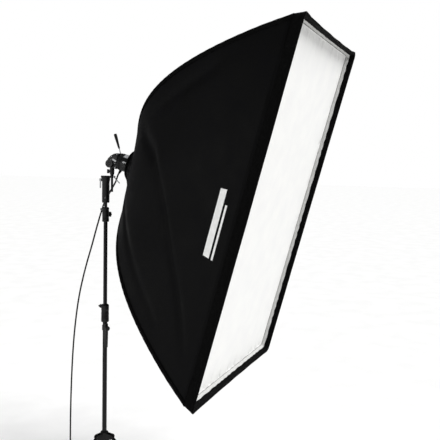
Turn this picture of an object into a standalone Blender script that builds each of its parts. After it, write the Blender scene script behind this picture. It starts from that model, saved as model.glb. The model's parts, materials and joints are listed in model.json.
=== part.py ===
"""Large rectangular softbox on a flash head, tilted down on a three-section light stand.

Metres, +Z up, the lit face towards -Y. Each moving piece hangs on an empty that stands on its joint's axis.
The origin is under the middle of the object, on the floor.
"""

import math

import bmesh
import bpy
from mathutils import Matrix, Vector

# Softbox
FRONT_WIDTH = 1.20
FRONT_HEIGHT = 1.80
BOX_DEPTH = 0.866           # speedring plane to the front edge
LIP_DEPTH = 0.052
LIP_WALL = 0.006
SHELL_WALL = 0.0025
REAR_OPENING = 0.0855       # radius of the fabric where it closes round the speedring
ROD_RADIUS = 0.0045
ROD_INSET = 0.014           # rod centre behind the corner seam
CORNER_REACH = 1.075        # corner seam's distance from the axis at its full depth
SEAM_END = 0.842
UPPER_BOW = (0.192, 54.8, 1.180, 31.0)   # handle, degrees from the axis; at the ring, then at the front
LOWER_BOW = (0.259, 52.8, 1.079, 30.8)
RING_OUTER = 0.078
RING_INNER = 0.0605
BAFFLE_DEPTH = 0.416        # ahead of the speedring
BAFFLE_SIZE = (0.77, 1.20)

# Flash head
HEAD_RADIUS = 0.0465
HEAD_LIFT = 0.024           # head axis above the tilt axis
RING_AHEAD = 0.1315         # speedring plane ahead of the tilt axis
TILT = math.radians(15.0)
TILT_HEIGHT = 2.05

# Stand
SPIGOT_AHEAD = 0.038        # spigot in front of the column
SPIGOT_RADIUS = 0.008
BASE_TUBE = (0.0127, 0.0115, 0.070, 1.262)    # outer and inner radius, bottom, top
LOWER_RISER = (0.0110, 0.0092, 0.620, 1.790)
UPPER_RISER = (0.0085, 0.0069, 0.900, 1.858)
BASE_COLLAR = (0.0215, 1.171, 1.271)
RISER_COLLAR = (0.0190, 1.730, 1.810)
HEAD_CASTING = (0.0205, 1.835, 1.9825)
FLANGE_RADIUS = 0.027
FLANGE_THICK = 0.011
SOCKET_BORE = 0.01415       # radius, for a 28 mm stud
SOCKET_DEPTH = 0.090
LEG_PIVOT_HEIGHT = 0.520
LEG_PIVOT_REACH = 0.045
FOOT_REACH = 0.560
FOOT_HEIGHT = 0.012
LEG_RADIUS = 0.0095
BRACE_LENGTH = 0.210
LEG_DIRECTIONS = (-90.0, 30.0, 150.0)

# Lamp cable
CABLE_RADIUS = 0.0045
COIL_RADIUS = 0.0495        # middle of its turns
COIL_CENTRE = (-0.0215, 0.356)
PLUG_RADIUS = 0.019

GAP = 0.0003

LEG_ANGLE = math.atan2(FOOT_REACH - LEG_PIVOT_REACH, LEG_PIVOT_HEIGHT - FOOT_HEIGHT)
LEG_LENGTH = math.hypot(FOOT_REACH - LEG_PIVOT_REACH, LEG_PIVOT_HEIGHT - FOOT_HEIGHT)
SPREADER_HEIGHT = LEG_PIVOT_HEIGHT - 2 * BRACE_LENGTH * math.cos(LEG_ANGLE)
CORNER = Vector((FRONT_WIDTH / 2, 0, FRONT_HEIGHT / 2)).normalized()


def clear_scene():
    for obj in list(bpy.data.objects):
        bpy.data.objects.remove(obj)


def principled(name, colour, roughness, metallic=0.0):
    material = bpy.data.materials.new(name)
    material.use_nodes = True
    shader = material.node_tree.nodes["Principled BSDF"]
    shader.inputs["Base Color"].default_value = (*colour, 1.0)
    shader.inputs["Roughness"].default_value = roughness
    shader.inputs["Metallic"].default_value = metallic
    return material


def empty(name, parent, location=(0, 0, 0), rotation=(0, 0, 0)):
    obj = bpy.data.objects.new(name, None)
    bpy.context.collection.objects.link(obj)
    obj.parent = parent
    obj.location = location
    obj.rotation_euler = rotation
    return obj


def piece(name, shape, material, parent, bevel=0.0):
    """An object from a bmesh made in its parent's frame, smooth where its faces nearly meet flat."""
    mesh = bpy.data.meshes.new(name)
    bmesh.ops.recalc_face_normals(shape, faces=shape.faces)
    shape.to_mesh(mesh)
    shape.free()
    mesh.materials.append(material)
    mesh.shade_smooth()
    mesh.set_sharp_from_angle(angle=math.radians(35))
    obj = bpy.data.objects.new(name, mesh)
    bpy.context.collection.objects.link(obj)
    obj.parent = parent
    if bevel:
        rounding = obj.modifiers.new("Bevel", "BEVEL")
        rounding.width = bevel
        rounding.segments = 2
        rounding.limit_method = "ANGLE"
    return obj


def combine(obj, operation, shapes, solver="EXACT"):
    """Joins shapes to obj, or cuts them from it, with one Boolean modifier for each."""
    for number, shape in enumerate(shapes):
        tool = piece(f"{obj.name}_{operation.lower()}_{number}", shape, obj.data.materials[0], obj.parent)
        tool.hide_render = True
        tool.display_type = "WIRE"
        boolean = obj.modifiers.new(operation, "BOOLEAN")
        boolean.operation = operation
        boolean.solver = solver
        boolean.object = tool
    return obj


def turned(profile, segments=16):
    """A closed half-section of (radius, height) points turned about Z. A point at radius 0 is a pole."""
    shape = bmesh.new()
    rings = []
    for radius, height in profile:
        if radius == 0:
            rings.append([shape.verts.new((0, 0, height))])
            continue
        angles = [2 * math.pi * i / segments for i in range(segments)]
        rings.append([shape.verts.new((radius * math.cos(a), radius * math.sin(a), height)) for a in angles])
    for first, second in zip(rings, rings[1:] + rings[:1]):
        if len(first) == len(second) == 1:
            continue
        for i in range(segments):
            j = (i + 1) % segments
            corners = [ring[k % len(ring)] for ring, k in ((first, i), (first, j), (second, j), (second, i))]
            shape.faces.new(list(dict.fromkeys(corners)))
    return shape


def placed(shape, centre=(0, 0, 0), towards=(0, 0, 1)):
    """Moves a shape made along Z so that its Z axis points towards, from centre."""
    turn = Vector(towards).to_track_quat("Z", "Y").to_matrix().to_4x4()
    shape.transform(Matrix.Translation(Vector(centre)) @ turn)
    return shape


def bar(start, end, radius, end_radius=None, segments=12):
    """A round bar or a cone between two points."""
    start = Vector(start)
    along = Vector(end) - start
    top = radius if end_radius is None else end_radius
    profile = [(0, 0), (radius, 0), (top, along.length), (0, along.length)]
    return placed(turned(profile, segments), start, along)


def domed_bar(start, end, radius, segments=12):
    """A round bar with a rounded far end."""
    start = Vector(start)
    along = Vector(end) - start
    reach = along.length
    dome = [(radius * math.cos(a), reach - radius + radius * math.sin(a)) for a in (0, 0.5, 1.0, 1.3)]
    return placed(turned([(0, 0), (radius, 0), *dome, (0, reach)], segments), start, along)


def block(low, high):
    shape = bmesh.new()
    bmesh.ops.create_cube(shape, size=1.0)
    low, high = Vector(low), Vector(high)
    size = high - low
    shape.transform(Matrix.Translation((low + high) / 2) @ Matrix.Diagonal((*size, 1.0)))
    return shape


def plate(outline, x_low, x_high):
    """An outline of (y, z) points with thickness along X."""
    shape = bmesh.new()
    near = [shape.verts.new((x_low, y, z)) for y, z in outline]
    face = shape.faces.new(near)
    made = bmesh.ops.extrude_face_region(shape, geom=[face])
    moved = [item for item in made["geom"] if isinstance(item, bmesh.types.BMVert)]
    bmesh.ops.translate(shape, verts=moved, vec=(x_high - x_low, 0, 0))
    return shape


def arc(centre, radius, start, end, count):
    """Points (y, z) along an arc, angles in degrees from +Y."""
    turns = [math.radians(start + (end - start) * i / (count - 1)) for i in range(count)]
    return [(centre[0] + radius * math.cos(a), centre[1] + radius * math.sin(a)) for a in turns]


def hollow_tube(outer, inner, bottom, top, segments=16):
    return turned([(inner, bottom), (outer, bottom), (outer, top), (inner, top)], segments)


def bezier(points, t):
    """A cubic curve through its first and last control point."""
    a, b, c, d = (Vector(p) for p in points)
    s = 1 - t
    return s ** 3 * a + 3 * s * s * t * b + 3 * s * t * t * c + t ** 3 * d


def smooth_route(points, spacing):
    """Points at a steady spacing on a Catmull-Rom curve through a list of hand-set points."""
    knots = [Vector(p) for p in points]
    knots = [2 * knots[0] - knots[1], *knots, 2 * knots[-1] - knots[-2]]
    dense = []
    for a, b, c, d in zip(knots, knots[1:], knots[2:], knots[3:]):
        for step in range(20):
            t = step / 20
            dense.append(0.5 * (2 * b + (c - a) * t + (2 * a - 5 * b + 4 * c - d) * t * t
                                + (3 * b - a - 3 * c + d) * t ** 3))
    dense.append(knots[-2])
    lengths = [0.0]
    for first, second in zip(dense, dense[1:]):
        lengths.append(lengths[-1] + (second - first).length)
    count = round(lengths[-1] / spacing)
    route, k = [], 0
    for i in range(count + 1):
        target = lengths[-1] * i / count
        while k < len(lengths) - 2 and lengths[k + 1] < target:
            k += 1
        share = (target - lengths[k]) / (lengths[k + 1] - lengths[k])
        route.append(dense[k].lerp(dense[k + 1], share))
    return route


def round_curve(name, route, radius, material, parent, sides=2):
    """A solid round rod or cable along a route."""
    curve = bpy.data.curves.new(name, "CURVE")
    curve.dimensions = "3D"
    curve.bevel_depth = radius
    curve.bevel_resolution = sides
    curve.use_fill_caps = True
    spline = curve.splines.new("POLY")
    spline.points.add(len(route) - 1)
    for point, place in zip(spline.points, route):
        point.co = (*place, 1.0)
    curve.materials.append(material)
    obj = bpy.data.objects.new(name, curve)
    bpy.context.collection.objects.link(obj)
    obj.parent = parent
    return obj


# Stand

def stand_base(parent, steel, black):
    outer, inner, bottom, top = BASE_TUBE
    piece("base_tube", hollow_tube(outer, inner, bottom, top), steel, parent)
    flange = bottom - GAP
    plug = [(0, flange - 0.008), (outer, flange - 0.008), (outer, flange), (inner - GAP, flange),
            (inner - GAP, bottom + 0.020), (0, bottom + 0.020)]
    piece("base_plug", turned(plug), black, parent)
    radius, low, high = BASE_COLLAR
    bore = outer + GAP
    lip = LOWER_RISER[0] + GAP
    sleeve = [(bore, low), (radius - 0.003, low), (radius, low + 0.004), (radius, high - 0.006),
              (radius - 0.005, high), (lip, high), (lip, top + GAP), (bore, top + GAP)]
    collar = piece("base_collar", turned(sleeve), black, parent)
    knob_height = high - 0.013
    combine(collar, "DIFFERENCE", [bar((0, 0.011, knob_height), (0, 0.030, knob_height), 0.0043)])
    knob_axis = empty("base_knob_axis", parent, (0, radius, knob_height))
    stud = bar((0, -0.0073, 0), (0, 0.003, 0), 0.0040)
    knob = piece("base_collar_knob", stud, black, knob_axis)
    cone = placed(turned([(0, 0.0006), (0.0085, 0.0006), (0.0110, 0.003), (0.0100, 0.008), (0.0040, 0.019),
                          (0, 0.020)], 12), (0, 0, 0), (0, 1, 0))
    combine(knob, "UNION", [cone])
    cleat(parent, black)


def cleat(parent, black):
    """A clip for cables on the base tube: a band, a long tapered tongue and a round clamp knob."""
    outer = BASE_TUBE[0]
    height = 1.139
    band = [(outer + GAP, height - 0.014), (outer + 0.0035, height - 0.014), (outer + 0.0035, height + 0.014),
            (outer + GAP, height + 0.014)]
    axis = empty("cleat_axis", parent, (0, 0, 0), (0, 0, math.radians(-127 + 90)))
    obj = piece("cable_cleat", turned(band), black, axis)
    tongue = plate([(-0.0135, 1.165), (-0.0225, 1.163), (-0.0245, 1.120), (-0.0200, 1.031), (-0.0170, 1.029),
                    (-0.0150, 1.090)], -0.0085, 0.0085)
    boss = bar((0, -0.014, height), (0, -0.0280, height), 0.0075)
    combine(obj, "UNION", [tongue, boss])
    hole = bar((0, -0.0150, height), (0, -0.0300, height), 0.0033)
    combine(obj, "DIFFERENCE", [hole])
    knob_axis = empty("cleat_knob_axis", axis, (0, -0.0283, height))
    disc = [(0, 0), (0.0120, 0), (0.0140, 0.002), (0.0140, 0.007), (0.0120, 0.009), (0, 0.009)]
    knob = piece("cleat_knob", placed(turned(disc), (0, 0, 0), (0, -1, 0)), black, knob_axis)
    combine(knob, "UNION", [bar((0, 0.0120, 0), (0, -0.001, 0), 0.0030)])


def leg_casting(parent, black):
    radius = 0.022
    low, high = LEG_PIVOT_HEIGHT - 0.030, LEG_PIVOT_HEIGHT + 0.026
    bore = BASE_TUBE[0] + GAP
    hub = [(bore, low), (radius - 0.002, low), (radius, low + 0.003), (radius, high - 0.003),
           (radius - 0.003, high), (bore, high)]
    casting = piece("leg_casting", turned(hub), black, parent)
    ears, holes = [], []
    for degrees in LEG_DIRECTIONS:
        turn = Matrix.Rotation(math.radians(degrees), 4, "Z")
        for side in (-1, 1):
            ear = bmesh.new()
            outline = [(0.010, high - 0.008), (0.010, low + 0.002), (0.044, LEG_PIVOT_HEIGHT - 0.013)]
            outline += arc((LEG_PIVOT_REACH, LEG_PIVOT_HEIGHT), 0.013, -70, 90, 6)
            inner, outer = LEG_RADIUS + 0.0008, LEG_RADIUS + 0.0058
            faces = [ear.verts.new((x, side * inner, z)) for x, z in outline]
            made = bmesh.ops.extrude_face_region(ear, geom=[ear.faces.new(faces)])
            moved = [item for item in made["geom"] if isinstance(item, bmesh.types.BMVert)]
            bmesh.ops.translate(ear, verts=moved, vec=(0, side * (outer - inner), 0))
            ear.transform(turn)
            ears.append(ear)
        pivot = Vector((LEG_PIVOT_REACH, 0, LEG_PIVOT_HEIGHT))
        across = Vector((0, 0.020, 0))
        hole = bar(pivot - across, pivot + across, 0.0043)
        hole.transform(turn)
        holes.append(hole)
    combine(casting, "UNION", ears)
    combine(casting, "DIFFERENCE", holes)


def tripod_leg(number, degrees, parent, steel, rubber):
    hinge = empty(f"leg_hinge_{number}", parent,
                  (LEG_PIVOT_REACH * math.cos(math.radians(degrees)),
                   LEG_PIVOT_REACH * math.sin(math.radians(degrees)), LEG_PIVOT_HEIGHT),
                  (0, 0, math.radians(degrees)))
    down = Vector((math.sin(LEG_ANGLE), 0, -math.cos(LEG_ANGLE)))
    leg = piece(f"leg_{number}", bar(-0.012 * down, (LEG_LENGTH - 0.006) * down, LEG_RADIUS), steel, hinge)
    pin = bar((0, -(LEG_RADIUS + 0.0062), 0), (0, LEG_RADIUS + 0.0062, 0), 0.0040)
    combine(leg, "UNION", [pin])
    boot_bore = LEG_RADIUS + GAP
    wall = boot_bore + 0.0035
    boot = turned([(0, 0.030), (wall, 0.030), (wall, -0.026), (wall - 0.002, -0.032), (boot_bore, -0.032),
                   (boot_bore, -0.006 + GAP), (0, -0.006 + GAP)])
    placed(boot, LEG_LENGTH * down, down)
    floor = -LEG_PIVOT_HEIGHT
    bmesh.ops.bisect_plane(boot, geom=boot.verts[:] + boot.edges[:] + boot.faces[:], plane_co=(0, 0, floor),
                           plane_no=(0, 0, -1), clear_outer=True)
    bmesh.ops.holes_fill(boot, edges=boot.edges[:], sides=0)
    piece(f"foot_{number}", boot, rubber, hinge)


def spreader(parent, steel, black):
    slide = empty("spreader_slide", parent, (0, 0, SPREADER_HEIGHT))
    bore = BASE_TUBE[0] + GAP
    ring = [(bore, -0.014), (0.018, -0.014), (0.020, -0.012), (0.020, 0.012), (0.018, 0.014), (bore, 0.014)]
    collar = piece("spreader_collar", turned(ring), black, slide)
    ears, holes = [], []
    brace_in = LEG_RADIUS + 0.0010
    brace_out = brace_in + 0.0030
    for number, degrees in enumerate(LEG_DIRECTIONS, 1):
        turn = Matrix.Rotation(math.radians(degrees), 4, "Z")
        ear = block((0.006, brace_out + 0.0006, -0.008), (LEG_PIVOT_REACH + 0.007, brace_out + 0.0042, 0.008))
        ear.transform(turn)
        ears.append(ear)
        hole = bar((LEG_PIVOT_REACH, brace_out - 0.002, 0), (LEG_PIVOT_REACH, brace_out + 0.008, 0), 0.0033)
        hole.transform(turn)
        holes.append(hole)
        spot = Vector((LEG_PIVOT_REACH, 0, 0))
        spot.rotate(turn.to_3x3())
        hinge = empty(f"brace_hinge_{number}", slide, spot, (0, 0, math.radians(degrees)))
        up = Vector((math.sin(LEG_ANGLE), 0, math.cos(LEG_ANGLE)))
        across = Vector((up.z, 0, -up.x))
        strip = bmesh.new()
        corners = [-0.007 * up - 0.007 * across, -0.007 * up + 0.007 * across,
                   (BRACE_LENGTH + 0.007) * up + 0.007 * across, (BRACE_LENGTH + 0.007) * up - 0.007 * across]
        face = strip.faces.new([strip.verts.new(p + Vector((0, brace_in, 0))) for p in corners])
        made = bmesh.ops.extrude_face_region(strip, geom=[face])
        moved = [item for item in made["geom"] if isinstance(item, bmesh.types.BMVert)]
        bmesh.ops.translate(strip, verts=moved, vec=(0, brace_out - brace_in, 0))
        brace = piece(f"brace_{number}", strip, steel, hinge)
        combine(brace, "UNION", [bar((0, brace_out - 0.001, 0), (0, brace_out + 0.0050, 0), 0.0030)])
    combine(collar, "UNION", ears)
    combine(collar, "DIFFERENCE", holes)


def lower_riser(parent, steel, black):
    slide = empty("lower_riser_slide", parent)
    outer, inner, bottom, top = LOWER_RISER
    piece("lower_riser_tube", hollow_tube(outer, inner, bottom, top), steel, slide)
    radius, low, high = RISER_COLLAR
    bore = outer + GAP
    lip = UPPER_RISER[0] + GAP
    sleeve = [(bore, low), (radius - 0.002, low), (radius, low + 0.003), (radius, high - 0.005),
              (radius - 0.004, high), (lip, high), (lip, top + GAP), (bore, top + GAP)]
    collar = piece("riser_collar", turned(sleeve), black, slide)
    knob_height = high - 0.040
    knob_side = Vector((math.cos(math.radians(-20)), math.sin(math.radians(-20)), 0))
    start = Vector((0, 0, knob_height))
    combine(collar, "UNION", [bar(start + 0.015 * knob_side, start + 0.023 * knob_side, 0.0080)])
    combine(collar, "DIFFERENCE", [bar(start + 0.0095 * knob_side, start + 0.026 * knob_side, 0.0043)])
    axis = empty("riser_knob_axis", slide, start)
    stud = piece("riser_collar_knob", bar(0.0118 * knob_side, 0.027 * knob_side, 0.0040), black, axis)
    grip = turned([(0, 0), (0.009, 0), (0.016, 0.004), (0.016, 0.009), (0.008, 0.014), (0, 0.014)], 6)
    combine(stud, "UNION", [placed(grip, 0.0233 * knob_side, knob_side)])
    far = math.hypot(CLIP_PLACE.x, CLIP_PLACE.y) + 0.0090
    clip = block((radius + GAP, -0.0075, -0.006), (far, 0.0075, 0.006))
    clip.transform(Matrix.Rotation(math.atan2(CLIP_PLACE.y, CLIP_PLACE.x), 4, "Z"))
    clip.transform(Matrix.Translation((0, 0, CLIP_PLACE.z)))
    holder = piece("cable_clip", clip, black, slide, bevel=0.001)
    ends = (CLIP_PLACE - 0.02 * CABLE_RUN, CLIP_PLACE + 0.02 * CABLE_RUN)
    combine(holder, "DIFFERENCE", [bar(*ends, CABLE_RADIUS + 2 * GAP)])
    return slide


def upper_riser(parent, steel, black, silver):
    slide = empty("upper_riser_slide", parent)
    outer, inner, bottom, top = UPPER_RISER
    piece("upper_riser_tube", hollow_tube(outer, inner, bottom, top), steel, slide)
    radius, low, high = HEAD_CASTING
    under = high - FLANGE_THICK
    bore = SOCKET_BORE
    socket = outer + GAP
    seat = high - SOCKET_DEPTH
    section = [(socket, low), (radius - 0.002, low), (radius, low + 0.003), (radius, under - 0.026),
               (FLANGE_RADIUS - 0.002, under), (FLANGE_RADIUS, under + 0.001), (FLANGE_RADIUS, high - 0.001),
               (FLANGE_RADIUS - 0.001, high), (bore, high), (bore, seat), (0, seat), (0, top + GAP),
               (socket, top + GAP)]
    head = piece("column_head", turned(section, 24), black, slide)
    spigot_at = Vector((0, -SPIGOT_AHEAD, 0))
    lug = block((-0.0085, -SPIGOT_AHEAD, under + 0.0010), (0.0085, -0.0185, high - 0.0010))
    rise = Vector((0, 0, 1))
    eye = bar(spigot_at + (under + 0.0004) * rise, spigot_at + (high - 0.0004) * rise, 0.0097, None, 16)
    screw_height = (under + high) / 2
    lock_height = under - 0.012
    lock_boss = bar((0, 0.018, lock_height), (0, 0.0285, lock_height), 0.0075)
    combine(head, "UNION", [lug, eye, lock_boss])
    cuts = [bar(spigot_at + (under - 0.01) * rise, spigot_at + (high + 0.01) * rise, 0.00655, None, 16),
            bar((0, -SPIGOT_AHEAD - 0.005, screw_height), (0, -SPIGOT_AHEAD - 0.012, screw_height), 0.0033),
            bar((0, 0.012, lock_height), (0, 0.031, lock_height), 0.0043)]
    combine(head, "DIFFERENCE", cuts, "MANIFOLD")
    pin, pin_top = SPIGOT_RADIUS, TILT_HEIGHT - 0.0220
    shank = [(0, under - 0.0765), (0.0050, under - 0.0765), (0.00625, under - 0.075), (0.00625, high + GAP),
             (pin + 0.001, high + GAP), (pin + 0.001, high + 0.0060), (pin, high + 0.0060),
             (pin, pin_top - 0.0015), (pin - 0.001, pin_top), (0, pin_top)]
    spigot = turned(shank)
    spigot.transform(Matrix.Translation(spigot_at))
    piece("spigot", spigot, silver, slide)
    front = empty("spigot_lever_axis", slide, (0, -SPIGOT_AHEAD - 0.0095, screw_height))
    lever = piece("spigot_lever", bar((0, 0.0025, 0), (0, -0.0060, 0), 0.0030), silver, front)
    hub = placed(turned([(0, 0), (0.006, 0), (0.006, 0.008), (0, 0.008)], 12), (0, -0.0006, 0), (0, -1, 0))
    arm = domed_bar((0, -0.004, -0.002), (0, -0.0380, -0.0350), 0.0026, 10)
    combine(lever, "UNION", [hub, arm])
    back = empty("socket_lever_axis", slide, (0, 0.0288, lock_height))
    lever = piece("socket_lever", bar((0, -0.0140, 0), (0, 0.0040, 0), 0.0040), silver, back)
    hub = placed(turned([(0, 0), (0.007, 0), (0.007, 0.009), (0, 0.009)], 12), (0, 0, 0), (0, 1, 0))
    handle = domed_bar((0, 0.0045, 0.006), (0, 0.0060, -0.046), 0.0038, 10)
    combine(lever, "UNION", [hub, handle])
    return slide


# Pan and tilt

def swivel(parent, black, silver):
    pan = empty("pan_axis", parent, (0, -SPIGOT_AHEAD, TILT_HEIGHT))
    bottom = HEAD_CASTING[2] + 0.0063 - TILT_HEIGHT
    top = -0.0140
    bore = SPIGOT_RADIUS + GAP
    barrel = [(bore, bottom), (0.0105, bottom), (0.0125, bottom + 0.010), (0.0130, bottom + 0.024),
              (0.0115, top), (0, top), (0, -0.0217), (bore, -0.0217)]
    receiver = piece("stand_receiver", turned(barrel), silver, pan)
    boss = bar((-0.0195, 0, 0), (0.0195, 0, 0), 0.0165, None, 16)
    knob_height = -0.043
    combine(receiver, "UNION", [boss, bar((0, 0.010, knob_height), (0, 0.0160, knob_height), 0.0055)])
    combine(receiver, "DIFFERENCE", [bar((-0.025, 0, 0), (0.025, 0, 0), 0.0053, None, 16),
                                     bar((0, 0.0075, knob_height), (0, 0.020, knob_height), 0.0033)])
    piece("tilt_axle", bar((-0.0272, 0, 0), (0.0360, 0, 0), 0.0050, None, 16), silver, pan)
    wing_axis = empty("wing_axis", pan, (0, 0.0163, knob_height))
    wing = piece("receiver_wing_knob", bar((0, -0.0075, 0), (0, 0.004, 0), 0.0030), black, wing_axis)
    blade = block((-0.0022, 0.0005, -0.0110), (0.0022, 0.0140, 0.0110))
    hub = bar((0, 0.0001, 0), (0, 0.0090, 0), 0.0048)
    combine(wing, "UNION", [hub, blade])
    return pan


def tilt_parts(parent, black, silver, rubber):
    tilt = empty("tilt_axis", parent, (0, 0, 0), (TILT, 0, 0))
    face = -0.0425
    back_plate = block((-0.0255, face, -0.0190), (0.0255, face + 0.0045, 0.050))
    bracket = piece("tilt_bracket", back_plate, black, tilt)
    cheeks = []
    for low, high in ((-0.0255, -0.0198), (0.0198, 0.0255)):
        outline = [(face + 0.002, -0.0188), *arc((0, 0), 0.0188, -90, 170, 14), (face + 0.002, 0.0033)]
        cheeks.append(plate(outline, low, high))
    combine(bracket, "UNION", cheeks)
    combine(bracket, "DIFFERENCE", [bar((-0.03, 0, 0), (0.03, 0, 0), 0.0053, None, 16)])
    knob_axis = empty("tilt_knob_axis", tilt)
    ring = [(0, 0.0018), (0.0060, 0.0018), (0.0060, 0.0002), (0.0195, 0.0002), (0.0225, 0.0025),
            (0.0225, 0.0105), (0.0205, 0.0125), (0.0075, 0.0125), (0.0060, 0.0105), (0, 0.0105)]
    knob = placed(turned(ring, 20), (-0.0258, 0, 0), (-1, 0, 0))
    piece("tilt_knob", knob, black, knob_axis)
    lever_axis = empty("tilt_lever_axis", tilt, (0, 0, 0), (-TILT, 0, 0))
    hub = placed(turned([(0.0053, 0), (0.0125, 0), (0.0125, 0.014), (0.0105, 0.018), (0, 0.018), (0, 0.0106),
                         (0.0053, 0.0106)]), (0.0258, 0, 0), (1, 0, 0))
    lever = piece("tilt_lever", hub, silver, lever_axis)
    grip_start = Vector((0.085, 0.0030, 0.083))
    grip_end = Vector((0.085, 0.0290, 0.164))
    lean = (grip_end - grip_start).normalized()
    elbow = grip_start - 0.0325 * lean
    root = Vector((0.0405, 0, 0.004))
    combine(lever, "UNION", [bar(root, elbow, 0.0031),
                             bar(elbow - 0.0020 * lean, grip_start + 0.012 * lean, 0.0032)])
    grip = turned([(0.0035, 0), (0.0050, 0), (0.0062, 0.020), (0.0085, 0.060), (0.0085, 0.080),
                   (0.0065, 0.084), (0, 0.085), (0, 0.0125), (0.0035, 0.0125)], 14)
    piece("lever_grip", placed(grip, grip_start, lean), rubber, lever_axis)
    return tilt


def flash_head(parent, black, silver, glass, ceramic):
    """Parts turned about the head's axis: depth is counted forward from the tilt axis, along -Y."""
    axis = empty("head_axis", parent, (0, 0, HEAD_LIFT), (math.radians(90), 0, 0))
    rear, front = 0.0428, 0.1775
    radius = HEAD_RADIUS
    housing = [(0, rear), (0.0360, rear), (0.0430, rear + 0.004), (radius, rear + 0.012),
               (radius, front - 0.002), (radius - 0.001, front), (0.0440, front), (0.0440, front - 0.030),
               (0, front - 0.030)]
    shell = piece("head_housing", turned(housing, 24), black, axis)
    gland_place, gland_way = Vector((0.006, -0.0455, 0.0580)), Vector((0, -0.94, -0.34))
    seat = (gland_place - 0.0020 * gland_way, gland_place + 0.02 * gland_way)
    combine(shell, "DIFFERENCE", [bar(*seat, 0.0083, None, 16)])
    gland = turned([(0, -0.0015), (0.0080, -0.0015), (0.0080, 0.0060), (0.0070, 0.0075), (0.0062, 0.0185),
                    (0.0049, 0.0185), (0.0049, 0.0120), (0, 0.0120)], 16)
    piece("cable_gland", placed(gland, gland_place, gland_way), black, axis)
    hood = [(-0.0377, 0.0660), (-0.0280, 0.0650), (-0.0150, 0.0590), (-0.0030, 0.0490), (0.0070, 0.0370),
            (0.0145, 0.0250), (0.0170, 0.0180)]
    hood += [(y, z) for y, z in arc((0, 0), 0.0235, 45, 168, 9)]
    hood += [(-0.0300, 0.0040), (-0.0377, 0.0040)]
    piece("rear_cover", plate(hood, -0.0330, 0.0330), black, parent, bevel=0.003)
    ring = turned([(radius + GAP, 0.1120), (radius + 0.0030, 0.1120), (radius + 0.0035, 0.1130),
                   (radius + 0.0035, 0.1150), (radius + GAP, 0.1150)], 24)
    piece("lock_ring", ring, silver, axis)
    insert = turned([(radius + GAP, 0.1155), (0.0575, 0.1155), (0.0596, 0.1170), (0.0596, 0.1480),
                     (0.0560, 0.1500), (radius + GAP, 0.1500)], 24)
    piece("speedring_insert", insert, black, axis)
    socket = turned([(0, front - 0.0297), (0.0330, front - 0.0297), (0.0330, front - 0.0180),
                     (0.0100, front - 0.0180), (0.0100, front - 0.0240), (0, front - 0.0240)], 20)
    piece("lamp_socket", socket, ceramic, axis)
    lamp = turned([(0, front - 0.0237), (0.0090, front - 0.0237), (0.0090, front - 0.0100),
                   (0.0070, front - 0.0080), (0.0070, front + 0.0180), (0.0050, front + 0.0230),
                   (0, front + 0.0250)])
    piece("modelling_lamp", lamp, glass, axis)
    loop = [(0.0270 + 0.0035 * math.cos(a), front + 0.0050 + 0.0035 * math.sin(a))
            for a in (2 * math.pi * i / 6 for i in range(6))]
    tube = piece("flash_tube", turned(loop, 16), glass, axis)
    legs = [bar((side * 0.027, 0, front - 0.0175), (side * 0.027, 0, front + 0.003), 0.0025, None, 10)
            for side in (-1, 1)]
    combine(tube, "UNION", legs)
    bulge = 0.0420
    outer = [(bulge * math.cos(a), front + 0.0010 + bulge * math.sin(a)) for a in (0, 0.3, 0.6, 0.9, 1.2)]
    wall = bulge - 0.0025
    inner = [(wall * math.cos(a), front + 0.0010 + wall * math.sin(a)) for a in (1.2, 0.9, 0.6, 0.3, 0)]
    dome = [(bulge, front - 0.012), *outer, (0, front + 0.0010 + bulge), (0, front + 0.0010 + wall), *inner,
            (wall, front - 0.012)]
    piece("glass_dome", turned(dome, 16), glass, axis)


# Softbox

def seam(bow, t):
    """Depth ahead of the speedring and distance from the axis along a corner, from the ring (t=0) forward."""
    first, rise, second, fall = bow
    start = Vector((0.0, REAR_OPENING))
    end = Vector((SEAM_END, CORNER_REACH))
    leave = Vector((math.cos(math.radians(rise)), math.sin(math.radians(rise))))
    arrive = Vector((math.cos(math.radians(fall)), math.sin(math.radians(fall))))
    return bezier((start, start + first * leave, end - second * arrive, end), t)


def rod_line(bow, t):
    """The rod's middle, square inwards from the seam at t."""
    ahead = (seam(bow, t + 0.001) - seam(bow, t)).normalized()
    return seam(bow, t) + ROD_INSET * Vector((ahead.y, -ahead.x))


def seam_at_depth(bow, depth, line=seam):
    """The curve's t where it reaches a depth."""
    low, high = 0.0, 1.0
    for _ in range(40):
        middle = (low + high) / 2
        low, high = (middle, high) if line(bow, middle).x < depth else (low, middle)
    return low


def on_corner(place, side, level):
    """A point of a corner curve, (depth, distance from the axis), in the softbox's own frame."""
    return Vector((side * CORNER.x * place.y, -place.x, level * CORNER.z * place.y))


def corner_point(side, level, t):
    bow = UPPER_BOW if level > 0 else LOWER_BOW
    return on_corner(seam(bow, t * seam_at_depth(bow, BOX_DEPTH - LIP_DEPTH - GAP)), side, level)


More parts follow.
